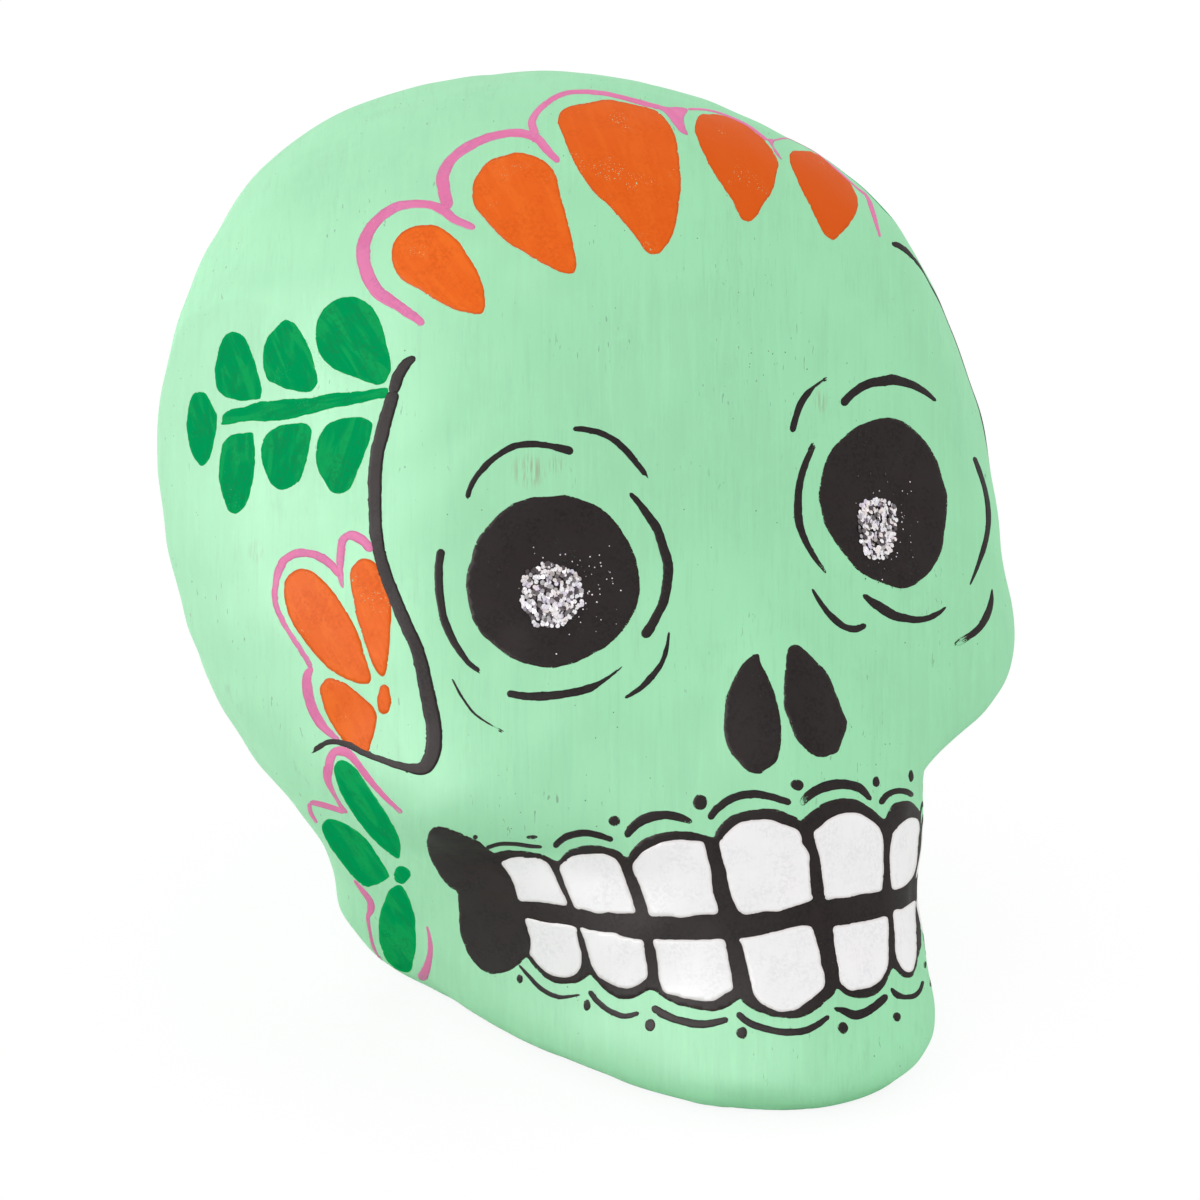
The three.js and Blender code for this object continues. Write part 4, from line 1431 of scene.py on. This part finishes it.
# The mirror image of the mouth takes over past the last tooth in sight, from this pixel on.
FAR_MOUTH_EDGE = 645
MIDDLE_TEETH = (
    ((720, 843), (723, 838), (730, 830), (738, 824), (748, 821), (759, 820), (770, 820), (782, 824),
     (790, 827), (798, 831), (801, 837), (802, 843), (806, 849), (809, 856), (809, 869), (810, 883),
     (811, 893), (812, 899), (800, 904), (788, 908), (778, 911), (766, 911), (754, 913), (745, 914),
     (739, 911), (735, 904), (731, 893), (728, 881), (726, 869), (722, 857)),
    ((814, 833), (820, 827), (828, 820), (838, 815), (850, 813), (860, 814), (870, 820), (878, 827),
     (881, 833), (883, 843), (883, 857), (883, 871), (882, 885), (881, 890), (876, 892), (860, 894),
     (848, 897), (836, 898), (826, 899), (824, 887), (822, 873), (820, 859), (817, 847)),
    ((740, 939), (752, 937), (766, 934), (780, 931), (790, 928), (800, 926), (811, 927), (814, 935),
     (817, 945), (820, 955), (821, 965), (824, 975), (824, 985), (820, 991), (812, 998), (804, 1004),
     (796, 1009), (786, 1011), (778, 1011), (768, 1007), (759, 1001), (754, 993), (751, 981),
     (748, 969), (745, 955), (742, 944)),
    ((834, 927), (846, 925), (860, 922), (872, 920), (886, 917), (888, 927), (888, 941), (888, 955),
     (887, 967), (883, 976), (878, 982), (870, 987), (860, 989), (851, 990), (844, 986), (840, 981),
     (839, 969), (837, 959), (835, 947), (834, 937)),
    ((633, 865), (636, 860), (642, 853), (650, 848), (660, 843), (670, 841), (682, 840), (694, 841),
     (702, 842), (705, 847), (707, 857), (711, 873), (712, 887), (714, 897), (717, 905), (717, 913),
     (708, 914), (696, 915), (682, 917), (670, 916), (658, 916), (650, 915), (647, 905), (643, 893),
     (638, 881), (634, 872)),
    ((654, 940), (666, 940), (680, 940), (692, 940), (706, 940), (723, 940), (727, 953), (730, 969),
     (732, 981), (732, 989), (726, 993), (718, 998), (711, 1001), (698, 1000), (686, 998), (674, 995),
     (665, 992), (661, 985), (659, 975), (658, 963), (656, 951)),
    ((892, 837), (893, 833), (897, 828), (902, 823), (908, 819), (914, 818), (918, 821), (919, 829),
     (918, 839), (917, 851), (916, 863), (914, 873), (909, 881), (902, 887), (893, 889), (891, 881),
     (890, 867), (890, 853)),
    ((894, 911), (902, 909), (910, 904), (915, 901), (915, 909), (915, 919), (916, 935), (916, 949),
     (915, 961), (913, 969), (909, 972), (904, 970), (900, 965), (896, 955), (895, 939), (894, 925)),
)
SIDE_TEETH = (
    ((502, 863), (506, 860), (512, 858), (520, 857), (530, 857), (540, 859), (547, 863), (552, 870),
     (557, 881), (562, 892), (567, 904), (556, 904), (543, 902), (530, 901), (520, 900), (517, 893),
     (514, 884), (510, 875), (505, 868)),
    ((560, 868), (563, 863), (570, 858), (578, 855), (590, 854), (602, 854), (612, 857), (617, 861),
     (621, 868), (625, 879), (629, 891), (633, 903), (635, 912), (628, 913), (618, 913), (608, 912),
     (598, 913), (590, 911), (583, 909), (576, 908), (572, 900), (567, 889), (563, 878)),
    ((526, 919), (536, 920), (548, 923), (560, 924), (575, 927), (577, 935), (579, 945), (581, 953),
     (581, 963), (579, 970), (574, 975), (566, 977), (556, 976), (547, 972), (539, 965), (533, 958),
     (530, 954), (531, 947), (531, 939), (528, 929)),
    ((581, 928), (590, 930), (602, 932), (614, 933), (624, 937), (634, 939), (642, 940), (644, 947),
     (645, 957), (647, 967), (647, 976), (642, 982), (635, 986), (626, 988), (617, 986), (608, 982),
     (599, 976), (593, 967), (589, 955), (586, 944), (583, 935)),
)
# Path, widths, and how dry the brush was at the start and end
MIDDLE_MOUTH_LINES = (
    (((626, 837), (633, 827), (645, 819), (662, 815), (678, 817), (692, 822)), (7, 9, 10, 9, 8, 5), 0, 0.5),
    (((709, 819), (718, 808), (733, 798), (752, 794), (772, 797), (791, 803)), (7, 8, 8, 8, 7.5, 6), 0, 0.4),
    (((801, 805), (808, 796), (822, 788), (840, 784), (857, 787), (865, 793), (871, 800)),
     (6, 9, 10, 10, 9, 7, 4), 0.7, 0.4),
    (((880, 804), (887, 795), (897, 791), (907, 792), (913, 796)), (6, 6, 6, 6, 5), 0.4, 0.5),
    (((652, 1007), (663, 1014), (678, 1020), (697, 1024), (713, 1023), (728, 1019)),
     (7, 8, 8, 8, 7.5, 6), 0, 0.3),
    (((737, 1013), (748, 1022), (763, 1028), (783, 1032), (803, 1031), (817, 1025), (829, 1016)),
     (6, 7, 7, 7, 7, 6.5, 5), 0, 0.3),
    (((834, 1008), (844, 1011), (854, 1015), (864, 1013), (874, 1007), (881, 1001), (887, 995)),
     (3, 7, 9, 9, 8, 8, 6), 0, 0.3),
    (((891, 988), (896, 994), (904, 997), (914, 996), (920, 990), (923, 981)), (3, 6, 5, 5, 4, 3), 0, 0.3),
)
SIDE_MOUTH_LINES = (
    (((486, 848), (500, 844), (515, 844), (530, 846), (542, 847)), (4, 4, 4, 4, 3), 0.2, 0.3),
    (((554, 847), (560, 841), (568, 836), (583, 833), (598, 835), (613, 840)),
     (6, 6.5, 7, 7, 6.5, 5), 0, 0.3),
    (((519, 965), (528, 975), (538, 986), (550, 994), (562, 997), (580, 995)),
     (2, 3.5, 4.5, 4.5, 4, 2), 0.3, 0.3),
    (((589, 991), (598, 1002), (610, 1011), (625, 1016), (639, 1013)), (5, 5.5, 5.5, 5.5, 4.5), 0, 0.3),
)
# Centre, width and height
MIDDLE_MOUTH_DOTS = (
    ((614, 821), 12, 10), ((700, 802), 14, 15), ((797, 785), 13, 11), ((876, 782), 7, 11),
    ((911, 776), 5, 12), ((587, 1005), 7, 11), ((650, 1025), 10, 12), ((742, 1033), 11, 12),
    ((843, 1028), 10, 12),
    ((897, 1017), 8, 9), ((925, 965), 3, 7), ((931, 983), 3, 8),
)
SIDE_MOUTH_DOTS = (((532, 837), 11, 4), ((475, 837), 5, 5), ((520, 979), 6, 9))


class SKULL_OT_mouth(bpy.types.Operator):
    """Paints the black of the mouth and the lines and dots round it"""

    bl_idname = "skull.mouth"
    bl_label = "Black mouth"

    def execute(self, context):
        finish = brushed_finish("black")
        mouth = Paint(51, BLACK_LIFT)
        mouth.blob(MOUTH_OUTLINE, grain_turn=0)
        mouth.lift -= FAR_MOUTH_DROP * MM
        far_side = [point for point in MOUTH_OUTLINE if point[0] < FAR_MOUTH_EDGE]
        mouth.blob(far_side, MOUTH_MIRROR, grain_turn=0)
        mouth.piece("black_mouth", "black_paint", finish)
        lines = Paint(52, BLACK_LIFT)
        for path, widths, start, end in MIDDLE_MOUTH_LINES:
            lines.stroke(path, widths, start_dry=start, end_dry=end)
        for centre, width, height in MIDDLE_MOUTH_DOTS:
            lines.dot(centre, width, height)
        for mirror in (None, MOUTH_MIRROR):
            for path, widths, start, end in SIDE_MOUTH_LINES:
                lines.stroke(path, widths, mirror, start_dry=start, end_dry=end)
            for centre, width, height in SIDE_MOUTH_DOTS:
                lines.dot(centre, width, height, mirror)
        lines.piece("black_mouth_lines", "black_paint", finish)
        return {"FINISHED"}


class SKULL_OT_teeth(bpy.types.Operator):
    """Paints the white teeth over the black of the mouth"""

    bl_idname = "skull.teeth"
    bl_label = "White teeth"

    def execute(self, context):
        teeth = Paint(61, TEETH_LIFT)
        for outline in MIDDLE_TEETH:
            teeth.blob(outline, grain_turn=85, rough=0.3, grow=0.3)
        for mirror in (None, MOUTH_MIRROR):
            for outline in SIDE_TEETH:
                teeth.blob(outline, mirror, grain_turn=85, rough=0.3, grow=0.3)
        teeth.piece("white_teeth", "white_paint", brushed_finish("white"))
        return {"FINISHED"}


# Glitter

# Piece, the solid that it stands for, centre, width and height in pixels, squareness, and the
# share of the flakes
GLITTER_DABS = (
    ("right_glitter", "right_glitter_pupil", (551, 595), 62, 65, 2.0, 1.0),
    ("left_glitter", "left_glitter_pupil", (877, 528), 38, 60, 2.8, 0.9),
)
# Of the places tried for a flake, the one with the most room is taken.
PLACES_TRIED = 5
# Heights over the skin in millimetres: of the lowest flakes, and how much higher the highest lie
# in the middle and at the edge
LOWEST_FLAKE = 0.2
PILE = 0.6
EDGE_PILE = 0.12
# Sizes are shares of the flake width, and tilts are degrees.
FLAKE_SIZES = (0.88, 1.14)
FLAKE_TILT = 28
FLAKE_HALF_THICKNESS = 0.02 * MM
FLAKE_CORNERS = 6
# Small glints that lie scattered beside each dab, and by how many pixels their middle is moved
GLINTS = 48
GLINT_SIZES = (0.14, 0.34)
GLINT_TILT = 20
GLINT_HEIGHT = 0.16 * MM
GLINT_DRIFT = (3, -4)
# How light a flake may be. Most are light, and a few are dark: painted shade for flakes that turn away from
# the light.
FLAKE_BRIGHTNESS_AND_PAINTED_SHADE = (1.0, 1.0, 1.0, 1.0, 1.0, 0.5, 0.15, 0.05)


class SKULL_OT_glitter(bpy.types.Operator):
    """Scatters loose flakes of glitter into the eyes"""

    bl_idname = "skull.glitter"
    bl_label = "Glitter"

    def execute(self, context):
        finish = self.flake_finish()
        form = context.scene.skull_form
        for seed, (name, node, centre, width, height, power, share) in enumerate(GLITTER_DABS):
            chance = random.Random(700 + seed)
            points, faces, tints = [], [], []
            laid = []
            for _ in range(round(form.flakes * share)):
                tried = [self.somewhere(chance, power) for _try in range(PLACES_TRIED)]
                spot = max(tried, key=lambda place: min([math.dist(place, other) for other in laid] or [0]))
                laid.append(spot)
                reach = math.hypot(*spot)
                pixel = (centre[0] + spot[0] * width / 2, centre[1] + spot[1] * height / 2)
                pile = (1 - min(reach, 1) ** 2) * PILE
                raised = (LOWEST_FLAKE + chance.random() * max(pile, EDGE_PILE)) * MM
                size = form.flake_width / 2 * chance.uniform(*FLAKE_SIZES)
                self.flake(pixel, raised, size, FLAKE_TILT, chance, points, faces, tints)
            for _ in range(GLINTS):
                turn = chance.gauss(0, 1.1)
                reach = 1.08 + chance.random() ** 1.5 * 1.2
                pixel = (
                    centre[0] + math.cos(turn) * reach * width / 2 + GLINT_DRIFT[0],
                    centre[1] + math.sin(turn) * reach * height / 2 + GLINT_DRIFT[1],
                )
                size = form.flake_width / 2 * chance.uniform(*GLINT_SIZES)
                self.flake(pixel, GLINT_HEIGHT, size, GLINT_TILT, chance, points, faces, tints)
            mesh = bpy.data.meshes.new(name)
            mesh.from_pydata(points, [], faces)
            point_attribute(mesh, "tint", "FLOAT_VECTOR", tints)
            mesh.materials.append(finish)
            dressed(new_object(name, mesh), "glitter", node)
        return {"FINISHED"}

    def somewhere(self, chance, power):
        """A place inside a round or squarish dab that reaches from -1 to 1."""
        while True:
            across, down = chance.uniform(-1, 1), chance.uniform(-1, 1)
            turn = math.atan2(down, across)
            brink = 1 + 0.05 * math.sin(3 * turn + power) + 0.03 * math.sin(7 * turn)
            if abs(across) ** power + abs(down) ** power < brink**power:
                return across, down

    def tint(self, chance):
        """How light, warm and cool a flake is. Its lightness is painted shade: flakes turned from the light
        are darker.
        """
        lightness_and_painted_shade = chance.choice(FLAKE_BRIGHTNESS_AND_PAINTED_SHADE)
        return (lightness_and_painted_shade * chance.uniform(0.9, 1), chance.random(), chance.random())

    def flake(self, pixel, raised, size, tilt, chance, points, faces, tints):
        """Adds one thin six-sided flake that leans any way, and its tint at each of its points."""
        spot, outward = skin().under_pixel(pixel)
        side = outward.orthogonal().normalized()
        turned = Matrix.Rotation(chance.uniform(0, 2 * math.pi), 3, outward) @ side
        lean = Matrix.Rotation(math.radians(chance.uniform(0, tilt)), 3, turned)
        axis = lean @ outward
        across = lean @ turned
        along = axis.cross(across)
        centre = spot + outward * raised
        start = len(points)
        for level in (FLAKE_HALF_THICKNESS, -FLAKE_HALF_THICKNESS):
            for corner in range(FLAKE_CORNERS):
                turn = corner * math.pi / 3
                outer = (across * math.cos(turn) + along * math.sin(turn)) * size
                points.append(centre + outer + axis * level)
        top = [start + corner for corner in range(FLAKE_CORNERS)]
        faces.append(top)
        faces.append([corner + FLAKE_CORNERS for corner in reversed(top)])
        for here, beside in zip(top, top[1:] + top[:1]):
            faces.append([here, here + FLAKE_CORNERS, beside + FLAKE_CORNERS, beside])
        tints += [self.tint(chance)] * (2 * FLAKE_CORNERS)

    def flake_finish(self):
        """Metallised film in silver, champagne and a little lilac. Some flakes are darkened towards brown as
        painted shade.
        """
        make = Finish("glitter")
        tint = make.stored("tint", "Vector")
        lightness_and_painted_shade = make.add("ShaderNodeSeparateXYZ", {}, {"Vector": tint}, "X")
        warm = make.add("ShaderNodeSeparateXYZ", {}, {"Vector": tint}, "Y")
        cool = make.add("ShaderNodeSeparateXYZ", {}, {"Vector": tint}, "Z")
        dust = make.noise(make.places(), 2600, 2)
        colour = make.mix(make.ramp(warm, 0.55, 0.95) * 0.6, srgb(252, 249, 252), srgb(246, 228, 220))
        colour = make.mix(make.ramp(cool, 0.7, 0.95) * 0.6, colour, srgb(205, 190, 222))
        # Painted shade: dark flakes are mixed towards this brown.
        colour = make.mix(1 - lightness_and_painted_shade, colour, srgb(58, 44, 48))
        rough = 0.2 + dust * 0.14
        return make.surface(Base_Color=colour, Metallic=0.4, Roughness=rough)


# Panel

CLASSES = (
    SkullForm,
    SkullPaints,
    SkullLight,
    SKULL_OT_stage,
    SKULL_OT_shells,
    SKULL_OT_inner_paper,
    SKULL_OT_petals,
    SKULL_OT_leaves,
    SKULL_OT_scallops,
    SKULL_OT_eyes,
    SKULL_OT_temple_lines,
    SKULL_OT_nose,
    SKULL_OT_mouth,
    SKULL_OT_teeth,
    SKULL_OT_glitter,
)
OPERATORS = tuple(made for made in CLASSES if issubclass(made, bpy.types.Operator))
SETTINGS = (("skull_form", SkullForm), ("skull_paints", SkullPaints), ("skull_light", SkullLight))


class SKULL_PT_panel(bpy.types.Panel):
    """Lists the settings and the steps that make the skull"""

    bl_idname = "SKULL_PT_panel"
    bl_label = "Painted skull"
    bl_space_type = "VIEW_3D"
    bl_region_type = "UI"
    bl_category = "Skull"

    def draw(self, context):
        for name, _group in SETTINGS:
            settings = getattr(context.scene, name)
            for field in settings.__annotations__:
                self.layout.prop(settings, field)
        for made in OPERATORS:
            self.layout.operator(made.bl_idname)


def register():
    for made in (*CLASSES, SKULL_PT_panel):
        bpy.utils.register_class(made)
    for name, group in SETTINGS:
        setattr(bpy.types.Scene, name, PointerProperty(type=group))


def unregister():
    for name, _group in SETTINGS:
        delattr(bpy.types.Scene, name)
    for made in reversed((*CLASSES, SKULL_PT_panel)):
        bpy.utils.unregister_class(made)


def main():
    """Makes the whole skull."""
    register()
    bpy.ops.skull.stage()
    bpy.ops.skull.shells()
    bpy.ops.skull.inner_paper()
    bpy.ops.skull.petals()
    bpy.ops.skull.leaves()
    bpy.ops.skull.scallops()
    bpy.ops.skull.eyes()
    bpy.ops.skull.temple_lines()
    bpy.ops.skull.nose()
    bpy.ops.skull.mouth()
    bpy.ops.skull.teeth()
    bpy.ops.skull.glitter()


if __name__ == "__main__":
    main()
